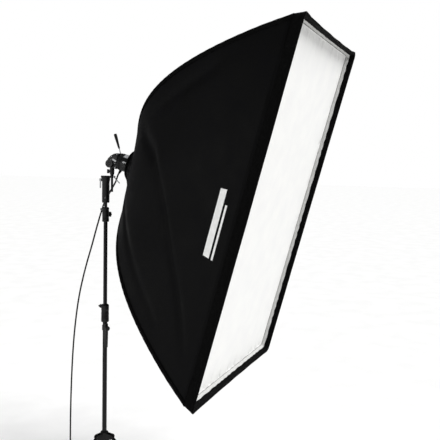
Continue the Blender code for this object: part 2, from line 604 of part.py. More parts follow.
def panel(name, first, second, hollow, material, parent):
    """Fabric between two corner seams: round at the ring, drawn in between the rods, straight at the lip."""
    rows, columns = 12, 6
    trim = SHELL_WALL + 0.0010
    shape = bmesh.new()
    layers = []
    inward = -(Vector((first[0], 0, first[1])) + Vector((second[0], 0, second[1]))).normalized()
    for depth in (0.0, SHELL_WALL):
        grid = []
        for i in range(rows + 1):
            t = i / rows
            a, b = corner_point(*first, t), corner_point(*second, t)
            along = (b - a).normalized()
            a, b = a + trim * along, b - trim * along
            roundness = max(0.0, 1 - t / 0.40) ** 2 - hollow * math.sin(math.pi * t) ** 1.2
            line = []
            for j in range(columns + 1):
                s = j / columns
                flat = a.lerp(b, s)
                across = Vector((flat.x, 0, flat.z))
                reach = (1 - s) * math.hypot(a.x, a.z) + s * math.hypot(b.x, b.z)
                out = across.length + roundness * (reach - across.length)
                place = across.normalized() * out
                line.append(shape.verts.new(Vector((place.x, flat.y, place.z)) + depth * inward))
            grid.append(line)
        layers.append(grid)
    outer, inner = layers
    for i in range(rows):
        for j in range(columns):
            shape.faces.new((outer[i][j], outer[i][j + 1], outer[i + 1][j + 1], outer[i + 1][j]))
            shape.faces.new((inner[i][j], inner[i + 1][j], inner[i + 1][j + 1], inner[i][j + 1]))
    for i in range(rows):
        shape.faces.new((outer[i][0], outer[i + 1][0], inner[i + 1][0], inner[i][0]))
        shape.faces.new((outer[i][-1], inner[i][-1], inner[i + 1][-1], outer[i + 1][-1]))
    for j in range(columns):
        shape.faces.new((outer[0][j], inner[0][j], inner[0][j + 1], outer[0][j + 1]))
        shape.faces.new((outer[-1][j], outer[-1][j + 1], inner[-1][j + 1], inner[-1][j]))
    piece(name, shape, material, parent)


def frame_loops(sizes):
    """A rectangular frame lofted through (half width, half height, y) loops, closed back to the first."""
    shape = bmesh.new()
    loops = []
    for x, z, y in sizes:
        loops.append([shape.verts.new(p) for p in ((-x, y, -z), (x, y, -z), (x, y, z), (-x, y, z))])
    for first, second in zip(loops, loops[1:] + loops[:1]):
        for i in range(4):
            shape.faces.new((first[i], first[(i + 1) % 4], second[(i + 1) % 4], second[i]))
    return shape


def softbox(parent, fabric, white, steel, black):
    spin = empty("spin_axis", parent, (0, -RING_AHEAD, HEAD_LIFT))
    ring_axis = empty("ring_axis", spin, (0, 0, 0), (math.radians(90), 0, 0))
    ring_section = [(RING_INNER, -0.014), (RING_OUTER - 0.002, -0.014), (RING_OUTER, -0.012),
                    (RING_OUTER, 0.012), (RING_OUTER - 0.002, 0.014), (RING_INNER, 0.014)]
    ring = piece("speedring", turned(ring_section, 24), black, ring_axis)
    for side, level in ((-1, 1), (1, 1), (1, -1), (-1, -1)):
        name = ("upper" if level > 0 else "lower") + ("_right" if side > 0 else "_left")
        bow = UPPER_BOW if level > 0 else LOWER_BOW
        base = rod_line(bow, 0)
        way = (rod_line(bow, 0.002) - base).normalized()
        places = [on_corner(base + reach * way, side, level) for reach in (-0.0140, 0.0120, -0.0080, 0.0300)]
        tools = [bar(*places[:2], 0.0080), bar(*places[2:], ROD_RADIUS + 3 * GAP)]
        for tool in tools:
            tool.transform(Matrix.Rotation(math.radians(-90), 4, "X"))
        combine(ring, "UNION", tools[:1])
        combine(ring, "DIFFERENCE", tools[1:], "MANIFOLD")
        last = seam_at_depth(bow, BOX_DEPTH - LIP_DEPTH - 0.012, rod_line)
        route = [on_corner(base - 0.0070 * way, side, level)]
        route += [on_corner(rod_line(bow, last * (i / 18) ** 1.4), side, level) for i in range(19)]
        round_curve(f"rod_{name}", route, ROD_RADIUS, steel, spin)
    combine(ring, "DIFFERENCE", [bar((-0.069, 0, -0.020), (-0.069, 0, -0.004), 0.0033)], "MANIFOLD")
    knob_axis = empty("ring_knob_axis", ring_axis, (-0.069, 0, -0.0146))
    knob = piece("ring_lock_knob", bar((0, 0, 0.0090), (0, 0, -0.0020), 0.0030), steel, knob_axis)
    head = turned([(0, -0.0003), (0.0080, -0.0003), (0.0085, -0.0020), (0.0070, -0.0140), (0.0050, -0.0155),
                   (0, -0.0155)], 12)
    combine(knob, "UNION", [head])
    side_hollow, top_hollow = 0.05, 0.12
    panel("panel_left", (-1, 1), (-1, -1), side_hollow, fabric, spin)
    panel("panel_right", (1, -1), (1, 1), side_hollow, fabric, spin)
    panel("panel_top", (1, 1), (-1, 1), top_hollow, fabric, spin)
    panel("panel_bottom", (-1, -1), (1, -1), top_hollow, fabric, spin)
    rear_top = corner_point(1, 1, 1.0)
    front_half = (FRONT_WIDTH / 2, FRONT_HEIGHT / 2)
    rear_half = (rear_top.x, rear_top.z)
    rear_y, front_y = -(BOX_DEPTH - LIP_DEPTH), -BOX_DEPTH
    lip = frame_loops([(rear_half[0], rear_half[1], rear_y), (*front_half, front_y),
                       (front_half[0] - LIP_WALL, front_half[1] - LIP_WALL, front_y),
                       (rear_half[0] - LIP_WALL, rear_half[1] - LIP_WALL, rear_y)])
    piece("front_lip", lip, fabric, spin)
    room = LIP_WALL + 0.0015
    front_sheet = (rear_half[0] - room, rear_half[1] - room, rear_y - 0.0030)
    inner_sheet = (BAFFLE_SIZE[0] / 2, BAFFLE_SIZE[1] / 2, -BAFFLE_DEPTH)
    for name, (half_x, half_z, y) in (("front_diffuser", front_sheet), ("inner_baffle", inner_sheet)):
        piece(name, block((-half_x, y - 0.001, -half_z), (half_x, y + 0.001, half_z)), white, spin)


# Lamp cable

CLIP_PLACE = Vector((0.0296, 0.0388, 1.7950))
CABLE_RUN = Vector((-0.0008, 0.0190, -0.0560)).normalized()    # its way through the clip
HELD_END = CLIP_PLACE + 0.0155 * CABLE_RUN
HELD_ROUTE = [(0.0060, -0.0807, 2.0030), (0.0060, -0.0779, 1.9990), (0.0072, -0.0712, 1.9895),
              (0.0145, -0.0610, 1.9730), (0.0255, -0.0480, 1.9530), (0.0330, -0.0320, 1.9310),
              (0.0350, -0.0155, 1.9070), (0.0345, 0.0000, 1.8800), (0.0325, 0.0160, 1.8510),
              (0.0300, 0.0290, 1.8240), tuple(CLIP_PLACE), tuple(HELD_END)]
FREE_ROUTE = [tuple(HELD_END + GAP * CABLE_RUN), (0.0292, 0.0520, 1.7560), (0.0298, 0.0730, 1.6900),
              (0.0300, 0.1026, 1.5900), (0.0300, 0.1310, 1.5000), (0.0300, 0.1580, 1.4050),
              (0.0290, 0.1820, 1.3000), (0.0280, 0.2010, 1.1800), (0.0270, 0.2160, 1.0400),
              (0.0265, 0.2265, 0.8800), (0.0260, 0.2330, 0.7100), (0.0255, 0.2360, 0.5400),
              (0.0250, 0.2365, 0.3800), (0.0250, 0.2370, 0.2500), (0.0252, 0.2400, 0.1500),
              (0.0260, 0.2480, 0.0780), (0.0270, 0.2650, 0.0300), (0.0280, 0.2880, 0.0090),
              (0.0280, 0.3090, 0.0050)]


def lamp_cable(parent, rubber, black):
    round_curve("head_cable", smooth_route(HELD_ROUTE, 0.014), CABLE_RADIUS, rubber, parent)
    round_curve("lamp_cable", smooth_route(FREE_ROUTE, 0.027), CABLE_RADIUS, rubber, parent)
    near, far, layers = COIL_RADIUS - 3 * CABLE_RADIUS, COIL_RADIUS + 3 * CABLE_RADIUS, 6 * CABLE_RADIUS
    coil = turned([(near, 0.0002), (far, 0.0002), (far, layers), (near, layers)], 24)
    coil.transform(Matrix.Translation((*COIL_CENTRE, 0)))
    piece("cable_coil", coil, rubber, parent)
    plug = turned([(0, 0), (0.0070, 0), (0.0085, 0.012), (0.0120, 0.020), (PLUG_RADIUS - 0.001, 0.024),
                   (PLUG_RADIUS - 0.001, 0.060), (PLUG_RADIUS, 0.062), (PLUG_RADIUS, 0.088), (0.0165, 0.090),
                   (0.0165, 0.074), (0, 0.074)])
    start = (COIL_CENTRE[0] - COIL_RADIUS - 0.006, COIL_CENTRE[1] - 0.054, PLUG_RADIUS + GAP)
    piece("cable_plug", placed(plug, start, (-0.25, -1, 0)), black, parent)


def set_on_origin(assembly):
    """Moves the assembly so that the origin is under the middle of everything but the free cable."""
    loose = {"lamp_cable", "cable_coil", "cable_plug"}
    bpy.context.view_layer.update()
    graph = bpy.context.evaluated_depsgraph_get()
    low, high = Vector((1e9,) * 3), Vector((-1e9,) * 3)
    for obj in bpy.data.objects:
        if obj.type not in {"MESH", "CURVE"} or obj.hide_render or obj.name in loose:
            continue
        done = obj.evaluated_get(graph)
        mesh = done.to_mesh()
        for vertex in mesh.vertices:
            spot = done.matrix_world @ vertex.co
            low = Vector(map(min, low, spot))
            high = Vector(map(max, high, spot))
        done.to_mesh_clear()
    assembly.location = (-(low.x + high.x) / 2, -(low.y + high.y) / 2, -low.z)


def main():
    clear_scene()
    steel = principled("black_anodised_tube", (0.020, 0.020, 0.022), 0.35, 0.6)
    black = principled("black_painted_casting", (0.015, 0.015, 0.016), 0.5)
    silver = principled("satin_steel", (0.45, 0.45, 0.46), 0.3, 1.0)
    rubber = principled("black_rubber", (0.018, 0.018, 0.018), 0.8)
    fabric = principled("black_softbox_fabric", (0.012, 0.012, 0.013), 0.7)
    white = principled("white_diffusion_fabric", (0.90, 0.90, 0.89), 0.9)
    glass = principled("frosted_glass", (0.85, 0.87, 0.87), 0.3)
    ceramic = principled("white_ceramic", (0.80, 0.79, 0.75), 0.5)
    rod_steel = principled("spring_steel_rod", (0.30, 0.30, 0.31), 0.35, 1.0)
    assembly = empty("assembly", None)
    stand_base(assembly, steel, black)
    leg_casting(assembly, black)
    for number, degrees in enumerate(LEG_DIRECTIONS, 1):
        tripod_leg(number, degrees, assembly, steel, rubber)
    spreader(assembly, steel, black)
    lower = lower_riser(assembly, steel, black)
    upper = upper_riser(lower, steel, black, silver)
    pan = swivel(upper, black, silver)
    tilt = tilt_parts(pan, black, silver, rubber)
    flash_head(tilt, black, silver, glass, ceramic)
    softbox(tilt, fabric, white, rod_steel, black)
    lamp_cable(assembly, rubber, black)
    set_on_origin(assembly)


main()
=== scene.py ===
# Studio softbox on a flash head and a three-section stand: the looks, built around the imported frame.
import json
import math

import bmesh
import bpy
import numpy as np
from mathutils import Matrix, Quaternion, Vector

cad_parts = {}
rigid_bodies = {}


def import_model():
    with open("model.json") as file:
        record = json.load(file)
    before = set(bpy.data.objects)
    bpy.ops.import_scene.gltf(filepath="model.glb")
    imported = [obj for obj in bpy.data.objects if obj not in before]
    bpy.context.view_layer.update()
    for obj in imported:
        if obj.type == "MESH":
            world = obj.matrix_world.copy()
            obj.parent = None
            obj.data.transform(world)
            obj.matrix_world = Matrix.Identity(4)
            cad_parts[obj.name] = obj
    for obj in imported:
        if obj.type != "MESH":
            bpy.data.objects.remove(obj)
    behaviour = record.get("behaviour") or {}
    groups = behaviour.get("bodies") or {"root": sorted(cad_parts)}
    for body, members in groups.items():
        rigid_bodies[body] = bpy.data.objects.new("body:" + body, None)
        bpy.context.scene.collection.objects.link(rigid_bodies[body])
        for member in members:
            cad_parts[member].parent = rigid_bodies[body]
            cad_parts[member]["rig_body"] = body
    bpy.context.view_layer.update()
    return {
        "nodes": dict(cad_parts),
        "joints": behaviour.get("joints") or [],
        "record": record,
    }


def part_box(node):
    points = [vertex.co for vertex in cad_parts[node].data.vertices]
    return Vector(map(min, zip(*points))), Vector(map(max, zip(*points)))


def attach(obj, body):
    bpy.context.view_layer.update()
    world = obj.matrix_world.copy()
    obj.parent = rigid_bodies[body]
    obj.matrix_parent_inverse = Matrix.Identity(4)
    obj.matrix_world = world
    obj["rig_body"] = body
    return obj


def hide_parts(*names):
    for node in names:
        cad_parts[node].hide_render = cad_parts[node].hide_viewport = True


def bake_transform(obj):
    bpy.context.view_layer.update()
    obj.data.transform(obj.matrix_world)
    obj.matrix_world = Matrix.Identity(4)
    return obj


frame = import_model()
nodes = frame["nodes"]
joints = {joint["name"]: joint for joint in frame["joints"]}
slots = {part["node"]: part["material_slot"] for part in frame["record"]["subparts"]}
print("frame loaded:", len(nodes), "nodes")


# Colour and shading

def hexColour(text, alpha=1.0):
    # sRGB to linear: each channel is ((c + 0.055) / 1.055) to the power 2.4, or c / 12.92 where it is dark
    channels = np.array([int(text[i:i + 2], 16) for i in (1, 3, 5)]) / 255
    linear = np.where(channels > 0.04045, ((channels + 0.055) / 1.055) ** 2.4, channels / 12.92)
    return (*linear.tolist(), alpha)


def addNode(tree, kind, settings=None, links=None):
    # settings with a capital letter or a number are sockets, the others are the node's own properties
    node = tree.nodes.new(kind)
    for key, value in (settings or {}).items():
        if isinstance(key, int) or key[0].isupper():
            node.inputs[key].default_value = value
        else:
            setattr(node, key, value)
    for key, source in (links or {}).items():
        tree.links.new(source, node.inputs[key])
    return node


def newFinish(name, hexText, roughness, metallic=0.0, **sockets):
    material = bpy.data.materials.new(name)
    material.use_nodes = True
    shader = material.node_tree.nodes["Principled BSDF"]
    shader.inputs["Base Color"].default_value = hexColour(hexText)
    shader.inputs["Roughness"].default_value = roughness
    shader.inputs["Metallic"].default_value = metallic
    for key, value in sockets.items():
        shader.inputs[key.replace("_", " ")].default_value = value
    return material, material.node_tree, shader


def objectCoordinates(tree, stretch=(1, 1, 1)):
    place = addNode(tree, "ShaderNodeTexCoord")
    return addNode(tree, "ShaderNodeMapping", {"Scale": stretch}, {"Vector": place.outputs["Object"]}).outputs[0]


def clothCoordinates(tree):
    # the piece's own map, in metres along the cloth
    return addNode(tree, "ShaderNodeUVMap", {"uv_map": "cloth"}).outputs[0]


def noise(tree, vector, perMetre, detail=3.0):
    return addNode(tree, "ShaderNodeTexNoise", {"Scale": perMetre, "Detail": detail}, {"Vector": vector}).outputs[0]


def remap(tree, value, low, high, toLow, toHigh):
    return addNode(tree, "ShaderNodeMapRange", {1: low, 2: high, 3: toLow, 4: toHigh}, {0: value}).outputs[0]


def tint(tree, value, darkHex, lightHex, low=0.35, high=0.65):
    ramp = addNode(tree, "ShaderNodeValToRGB", links={"Fac": value})
    ramp.color_ramp.elements[0].position, ramp.color_ramp.elements[1].position = low, high
    ramp.color_ramp.elements[0].color = hexColour(darkHex)
    ramp.color_ramp.elements[1].color = hexColour(lightHex)
    return ramp.outputs[0]


def relief(tree, shader, height, depthMm, strength=1.0):
    bump = addNode(tree, "ShaderNodeBump", {"Distance": depthMm / 1000, "Strength": strength}, {"Height": height})
    tree.links.new(bump.outputs[0], shader.inputs["Normal"])


def threads(tree, vector, pitchMm):
    # one set of round threads each way: the higher of |sin| across the two directions
    parts = addNode(tree, "ShaderNodeSeparateXYZ", links={0: vector})
    waves = []
    for axis in (0, 1):
        turn = addNode(tree, "ShaderNodeMath", {"operation": "MULTIPLY", 1: math.pi * 1000 / pitchMm},
                       {0: parts.outputs[axis]})
        wave = addNode(tree, "ShaderNodeMath", {"operation": "SINE"}, {0: turn.outputs[0]})
        waves.append(addNode(tree, "ShaderNodeMath", {"operation": "ABSOLUTE"}, {0: wave.outputs[0]}).outputs[0])
    return addNode(tree, "ShaderNodeMath", {"operation": "MAXIMUM"}, {0: waves[0], 1: waves[1]}).outputs[0]


def ripstopNylon(name, darkHex, lightHex, roughness, pitchMm, **sockets):
    # calendered nylon: a fine plain weave with a thicker thread at each square, soft sheen at a glance.
    # The threads are 0.3 mm apart in the cloth; they are drawn coarser so that they show.
    material, tree, shader = newFinish(name, darkHex, roughness, **sockets)
    cloth = clothCoordinates(tree)
    squares = threads(tree, cloth, pitchMm)
    ridges = remap(tree, squares, 0.90, 1.0, 0.0, 1.0)
    cloudy = noise(tree, cloth, 9, 4)
    tree.links.new(tint(tree, cloudy, darkHex, lightHex), shader.inputs["Base Color"])
    tree.links.new(remap(tree, cloudy, 0.3, 0.7, roughness - 0.07, roughness + 0.07), shader.inputs["Roughness"])
    fine = threads(tree, cloth, 1.1)
    height = addNode(tree, "ShaderNodeMath", {"operation": "MULTIPLY_ADD", 1: 0.35}, {0: fine, 2: ridges})
    relief(tree, shader, height.outputs[0], 0.25, 0.6)
    return material


def nylonTape(name, darkHex, lightHex):
    # woven binding tape: ribs across it 1.6 mm apart
    material, tree, shader = newFinish(name, darkHex, 0.88, Specular_IOR_Level=0.06)
    cloth = clothCoordinates(tree)
    parts = addNode(tree, "ShaderNodeSeparateXYZ", links={0: cloth})
    turn = addNode(tree, "ShaderNodeMath", {"operation": "MULTIPLY", 1: 2 * math.pi * 1000 / 1.6},
                   {0: parts.outputs[1]})
    ribs = addNode(tree, "ShaderNodeMath", {"operation": "SINE"}, {0: turn.outputs[0]}).outputs[0]
    tree.links.new(tint(tree, noise(tree, cloth, 60, 4), darkHex, lightHex), shader.inputs["Base Color"])
    relief(tree, shader, ribs, 0.3, 0.7)
    return material


def grainedCoat(name, darkHex, lightHex, grainMm, roughness, **sockets):
    # powder-coated casting or moulded plastic: an even grain, slightly cloudy gloss, a little rubbed
    material, tree, shader = newFinish(name, darkHex, roughness, **sockets)
    place = objectCoordinates(tree)
    cloudy = noise(tree, place, 45, 5)
    tree.links.new(tint(tree, cloudy, darkHex, lightHex), shader.inputs["Base Color"])
    tree.links.new(remap(tree, cloudy, 0.3, 0.7, roughness - 0.08, roughness + 0.10), shader.inputs["Roughness"])
    relief(tree, shader, noise(tree, place, 1000 / grainMm, 2), 0.12, 0.5)
    return material


def drawnMetal(name, darkHex, lightHex, roughness, metallic, along=2):
    # drawn or turned metal: hairlines along the draw, 0.5 mm apart, broken up over some centimetres
    material, tree, shader = newFinish(name, darkHex, roughness, metallic)
    stretch = [2000.0] * 3
    stretch[along] = 18.0
    lines = noise(tree, objectCoordinates(tree, stretch), 1, 3)
    tree.links.new(tint(tree, lines, darkHex, lightHex), shader.inputs["Base Color"])
    tree.links.new(remap(tree, lines, 0.3, 0.7, roughness - 0.08, roughness + 0.12), shader.inputs["Roughness"])
    relief(tree, shader, lines, 0.05, 0.4)
    return material


finishes = {
    "black_tube": drawnMetal("black anodised aluminium", "#0b0b0c", "#131314", 0.36, 0.65),
    "black_casting": grainedCoat("black powder-coated casting", "#060607", "#0b0b0c", 1.2, 0.46,
                                Specular_IOR_Level=0.24),
    "satin_steel": drawnMetal("satin zinc-plated steel", "#8d8f92", "#b4b5b6", 0.30, 1.0, along=0),
    "black_rubber": grainedCoat("moulded rubber", "#0a0a0a", "#111110", 0.8, 0.80, Specular_IOR_Level=0.2),
    "black_plastic": grainedCoat("moulded glass-filled nylon", "#070708", "#0d0d0e", 0.7, 0.38,
                               Specular_IOR_Level=0.3),
    "softbox_fabric": ripstopNylon("black ripstop nylon", "#020202", "#040405", 0.50, 9.0,
                                   Specular_IOR_Level=0.055),
    "diffusion_fabric": ripstopNylon("white diffusion nylon", "#dfdfde", "#e3e3e1", 0.85, 7.0,
                                     Specular_IOR_Level=0.2),
    "spring_steel": drawnMetal("oiled spring steel", "#5c5d60", "#77787a", 0.35, 1.0),
    "white_ceramic": grainedCoat("glazed steatite", "#dcd8cc", "#e9e6dc", 2.0, 0.35),
}
silverLining = newFinish("silver lining cloth", "#b9babb", 0.38, 0.85)[0]
bindingTape = nylonTape("black binding tape", "#030303", "#070707")
# the hem tape is white but coloured grey: painted shade along the diffuser's edge
hemTapeInPaintedShade = nylonTape("white hem tape darkened as painted shade", "#bcbcba", "#c6c6c4")
hookLoopStrap = grainedCoat("hook and loop strap", "#1b1b1c", "#262627", 1.5, 0.9, Specular_IOR_Level=0.2)
printInk = grainedCoat("white screen print", "#e6e6e4", "#f2f2f0", 1.1, 0.7)
# pale grey film for the labels, also used for painted highlights on the head
labelFilmAndPaintedHighlight = grainedCoat("pale grey label film and painted highlight", "#a9abac", "#bcbdbe", 1.5, 0.45)
frosted, frostTree, frostShader = newFinish("frosted borosilicate glass", "#f2f5f5", 0.35, Transmission_Weight=0.85)
relief(frostTree, frostShader, noise(frostTree, objectCoordinates(frostTree), 900, 2), 0.05, 0.5)
finishes["frosted_glass"] = frosted
cableSheath = grainedCoat("pvc cable sheath", "#080808", "#0e0e0e", 1.0, 0.5, Specular_IOR_Level=0.25)
print("finishes ready")


# Mesh makers

def addPiece(name, mesh, finish, body, smooth=True, sharp=None):
    obj = bpy.data.objects.new(name, mesh)
    bpy.context.scene.collection.objects.link(obj)
    mesh.materials.clear()
    mesh.materials.append(finish)
    if smooth:
        mesh.shade_smooth()
    if sharp:
        mesh.set_sharp_from_angle(angle=math.radians(sharp))
    if body:
        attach(obj, body)
    return obj


def meshOf(name, points, faces):
    mesh = bpy.data.meshes.new(name)
    mesh.from_pydata(np.reshape(points, (-1, 3)).tolist(), [], faces)
    mesh.validate()
    return mesh


def gridFaces(rows, columns, closedRows=False, closedColumns=False):
    # quads between neighbours of a rows by columns grid, wrapping where it is closed
    i = np.arange(rows if closedRows else rows - 1)[:, None]
    j = np.arange(columns if closedColumns else columns - 1)[None, :]
    nextI, nextJ = (i + 1) % rows, (j + 1) % columns
    corners = [i * columns + j, i * columns + nextJ, nextI * columns + nextJ, nextI * columns + j]
    return np.stack([np.broadcast_to(c, np.broadcast(i, j).shape) for c in corners], -1).reshape(-1, 4).tolist()


def cleanUp(mesh, recalculate=True):
    shape = bmesh.new()
    shape.from_mesh(mesh)
    bmesh.ops.remove_doubles(shape, verts=shape.verts, dist=1e-6)
    bmesh.ops.dissolve_degenerate(shape, edges=shape.edges, dist=1e-7)
    if recalculate:
        bmesh.ops.recalc_face_normals(shape, faces=shape.faces)
    shape.to_mesh(mesh)
    shape.free()
    return mesh


def acrossFrom(axis):
    # two directions square to an axis
    axis = np.array(axis, float) / np.linalg.norm(axis)
    helper = np.array([1.0, 0, 0]) if abs(axis[0]) < 0.9 else np.array([0, 0, 1.0])
    first = np.cross(axis, helper)
    first /= np.linalg.norm(first)
    return axis, first, np.cross(axis, first)


def rounded(profile, radius=0.0008, steps=3):
    # every corner of an open profile becomes a short quadratic curve that starts radius away on both sides
    points = np.array(profile, float)
    t = np.linspace(0, 1, steps + 1)[:, None]
    result = [points[:1]]
    for before, here, after in zip(points, points[1:], points[2:]):
        reachIn = min(radius, np.linalg.norm(here - before) * 0.45)
        reachOut = min(radius, np.linalg.norm(after - here) * 0.45)
        start = here + (before - here) / max(np.linalg.norm(before - here), 1e-9) * reachIn
        end = here + (after - here) / max(np.linalg.norm(after - here), 1e-9) * reachOut
        result.append((1 - t) ** 2 * start + 2 * t * (1 - t) * here + t ** 2 * end)
    return np.concatenate([*result, points[-1:]])


def turnedMesh(name, profile, origin, axis, segments=64, ripple=None, radius=0.0008):
    # a profile of (radius, height) carried round an axis: origin + height * axis + radius * (cos, sin).
    # ripple(angle, height) is added to the radius, for knurls and grips
    axis, first, second = acrossFrom(axis)
    outline = rounded(profile, radius)
    angles = np.linspace(0, 2 * math.pi, segments, endpoint=False)[None, :]
    r, h = outline[:, :1], outline[:, 1:]
    if ripple:
        r = np.where(r > 1e-6, r + ripple(angles, h), r)
    r = np.broadcast_to(r, (len(outline), segments))
    points = (np.array(origin) + h[..., None] * axis
              + r[..., None] * (np.cos(angles)[..., None] * first + np.sin(angles)[..., None] * second))
    closed = outline[0][0] > 1e-6
    return cleanUp(meshOf(name, points, gridFaces(len(outline), segments, closed, True)))


def knurl(count, depth, low, high):
    # a cosine groove pattern round the axis between two heights, fading out over 1 mm
    def ripple(angles, heights):
        band = np.clip((heights - low) / 0.001, 0, 1) * np.clip((high - heights) / 0.001, 0, 1)
        return -depth * band * (0.5 - 0.5 * np.cos(count * angles))
    return ripple


def turned(name, profile, origin, axis, finish, body, segments=64, ripple=None, radius=0.0008):
    mesh = turnedMesh(name, profile, origin, axis, segments, ripple, radius)
    return addPiece(name, mesh, finish, body, sharp=50)


def smoothRoute(points, spacing):
    # a Catmull-Rom curve through given points, read off at a steady spacing
    knots = np.array(points, float)
    knots = np.vstack([2 * knots[0] - knots[1], knots, 2 * knots[-1] - knots[-2]])
    t = np.linspace(0, 1, 24, endpoint=False)[None, :, None]
    a, b, c, d = (knots[k:len(knots) - 3 + k, None, :] for k in range(4))
    dense = 0.5 * (2 * b + (c - a) * t + (2 * a - 5 * b + 4 * c - d) * t ** 2 + (3 * b - a - 3 * c + d) * t ** 3)
    dense = np.vstack([dense.reshape(-1, 3), knots[-2]])
    run = np.concatenate([[0], np.cumsum(np.linalg.norm(np.diff(dense, axis=0), axis=1))])
    even = np.linspace(0, run[-1], max(2, round(run[-1] / spacing)) + 1)
    return np.stack([np.interp(even, run, dense[:, k]) for k in range(3)], -1)


def roundTube(name, route, radius, finish, body, sides=12):
    # a curve with a round bevel along a route, made a mesh
    curve = bpy.data.curves.new(name, "CURVE")
    curve.dimensions = "3D"
    curve.bevel_depth = radius
    curve.bevel_resolution = max(1, sides // 4)
    curve.use_fill_caps = True
    spline = curve.splines.new("POLY")
    spline.points.add(len(route) - 1)
    spline.points.foreach_set("co", np.c_[route, np.ones(len(route))].ravel())
    guide = bpy.data.objects.new(name + "_guide", curve)
    bpy.context.scene.collection.objects.link(guide)
    bpy.context.view_layer.update()
    mesh = bpy.data.meshes.new_from_object(guide.evaluated_get(bpy.context.evaluated_depsgraph_get()))
    bpy.data.objects.remove(guide)
    cleanUp(mesh)
    return addPiece(name, mesh, finish, body, sharp=50)


def finePart(node, finish=None, bevel=0.0006, angle=35):
    # the frame's own shape with its triangles merged, its edges rounded and its flats joined
    source = nodes[node]
    mesh = source.data.copy()
    shape = bmesh.new()
    shape.from_mesh(mesh)
    bmesh.ops.remove_doubles(shape, verts=shape.verts, dist=1e-5)
    bmesh.ops.dissolve_limit(shape, angle_limit=math.radians(1.0), verts=shape.verts, edges=shape.edges)
    shape.to_mesh(mesh)
    shape.free()
    piece = addPiece(node + "_fine", mesh, finish or finishes[slots[node]], source["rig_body"], sharp=angle)
    if bevel:
        rounding = piece.modifiers.new("edges", "BEVEL")
        rounding.width = bevel
        rounding.segments = 2
        rounding.limit_method = "ANGLE"
        rounding.angle_limit = math.radians(angle)
        rounding.harden_normals = False
    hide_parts(node)
    return piece


def boxMiddle(node):
    low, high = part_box(node)
    return np.array((low + high) / 2)


def sideName(side):
    return "right" if side > 0 else "left"


def levelWay(degrees):
    # a level direction, turned from +X towards +Y
    return np.array([math.cos(math.radians(degrees)), math.sin(math.radians(degrees)), 0.0])


# Camera, light and floor

view = dict(place=(-3.5156, -1.4827, 2.0823), heading=-69.947, down=4.765, roll=1.093, lens=59.33)
camera = bpy.data.objects.new("camera", bpy.data.cameras.new("camera"))
bpy.context.scene.collection.objects.link(camera)
camera.data.lens = view["lens"]
camera.data.sensor_width = 36
camera.data.clip_end = 200
camera.rotation_mode = "QUATERNION"


def turnAbout(axis, degrees):
    half = math.radians(degrees) / 2
    return (math.cos(half), *(math.sin(half) * np.array(axis)))


def setView():
    # heading about Z, then the tilt from straight down, then the roll about the line of sight
    turn = Quaternion(turnAbout((0, 0, 1), view["heading"]))
    tilt = Quaternion(turnAbout((1, 0, 0), 90 - view["down"]))
    roll = Quaternion(turnAbout((0, 0, 1), view["roll"]))
    camera.rotation_quaternion = turn @ tilt @ roll
    camera.location = view["place"]


setView()
bpy.context.scene.camera = camera
bpy.context.scene.view_settings.view_transform = "Standard"

light = dict(sunFrom=(-0.12, -0.85, 0.95), sunPower=3.9, sunSpread=40, sky="#7c7c7e", seen="#ffffff")


def setLight():
    sun = bpy.data.objects.new("soft_sun", bpy.data.lights.new("soft_sun", "SUN"))
    bpy.context.scene.collection.objects.link(sun)
    sun.data.energy = light["sunPower"]
    sun.data.angle = math.radians(light["sunSpread"])
    sun.rotation_mode = "QUATERNION"
    sun.rotation_quaternion = Vector(light["sunFrom"]).to_track_quat("Z", "Y")
    for name, place, aim, size, power in (("rear_strip", (-2.6, 2.6, 2.4), (0, 0.3, 1.9), 1.6, 26),
                                          ("side_wash", (-4.5, 0.4, 0.9), (0, 0, 1.6), 2.5, 20)):
        lamp = bpy.data.objects.new(name, bpy.data.lights.new(name, "AREA"))
        bpy.context.scene.collection.objects.link(lamp)
        lamp.data.size = size
        lamp.data.energy = power
        lamp.location = place
        lamp.rotation_mode = "QUATERNION"
        lamp.rotation_quaternion = (Vector(place) - Vector(aim)).to_track_quat("Z", "Y")
    world = bpy.data.worlds.new("studio")
    bpy.context.scene.world = world
    world.use_nodes = True
    tree = world.node_tree
    lit = tree.nodes["Background"]
    lit.inputs["Color"].default_value = hexColour(light["sky"])
    seen = addNode(tree, "ShaderNodeBackground", {"Color": hexColour(light["seen"]), "Strength": 1.0})
    ray = addNode(tree, "ShaderNodeLightPath")
    mix = addNode(tree, "ShaderNodeMixShader", links={0: ray.outputs["Is Camera Ray"], 1: lit.outputs[0],
                                                      2: seen.outputs[0]})
    tree.links.new(mix.outputs[0], tree.nodes["World Output"].inputs["Surface"])


def setFloor():
    size = 60.0
    corners = np.array([(-size, -size, 0), (size, -size, 0), (size, size, 0), (-size, size, 0)])
    floor = bpy.data.objects.new("floor", meshOf("floor", corners, [[0, 1, 2, 3]]))
    bpy.context.scene.collection.objects.link(floor)
    pale, tree, shader = newFinish("pale studio floor", "#f4f4f3", 0.9, Specular_IOR_Level=0.1)
    tree.links.new(tint(tree, noise(tree, objectCoordinates(tree), 3, 3), "#f1f1f0", "#f6f6f5"),
                   shader.inputs["Base Color"])
    floor.data.materials.append(pale)


setLight()
setFloor()
print("camera and light set")


# Lamp cable

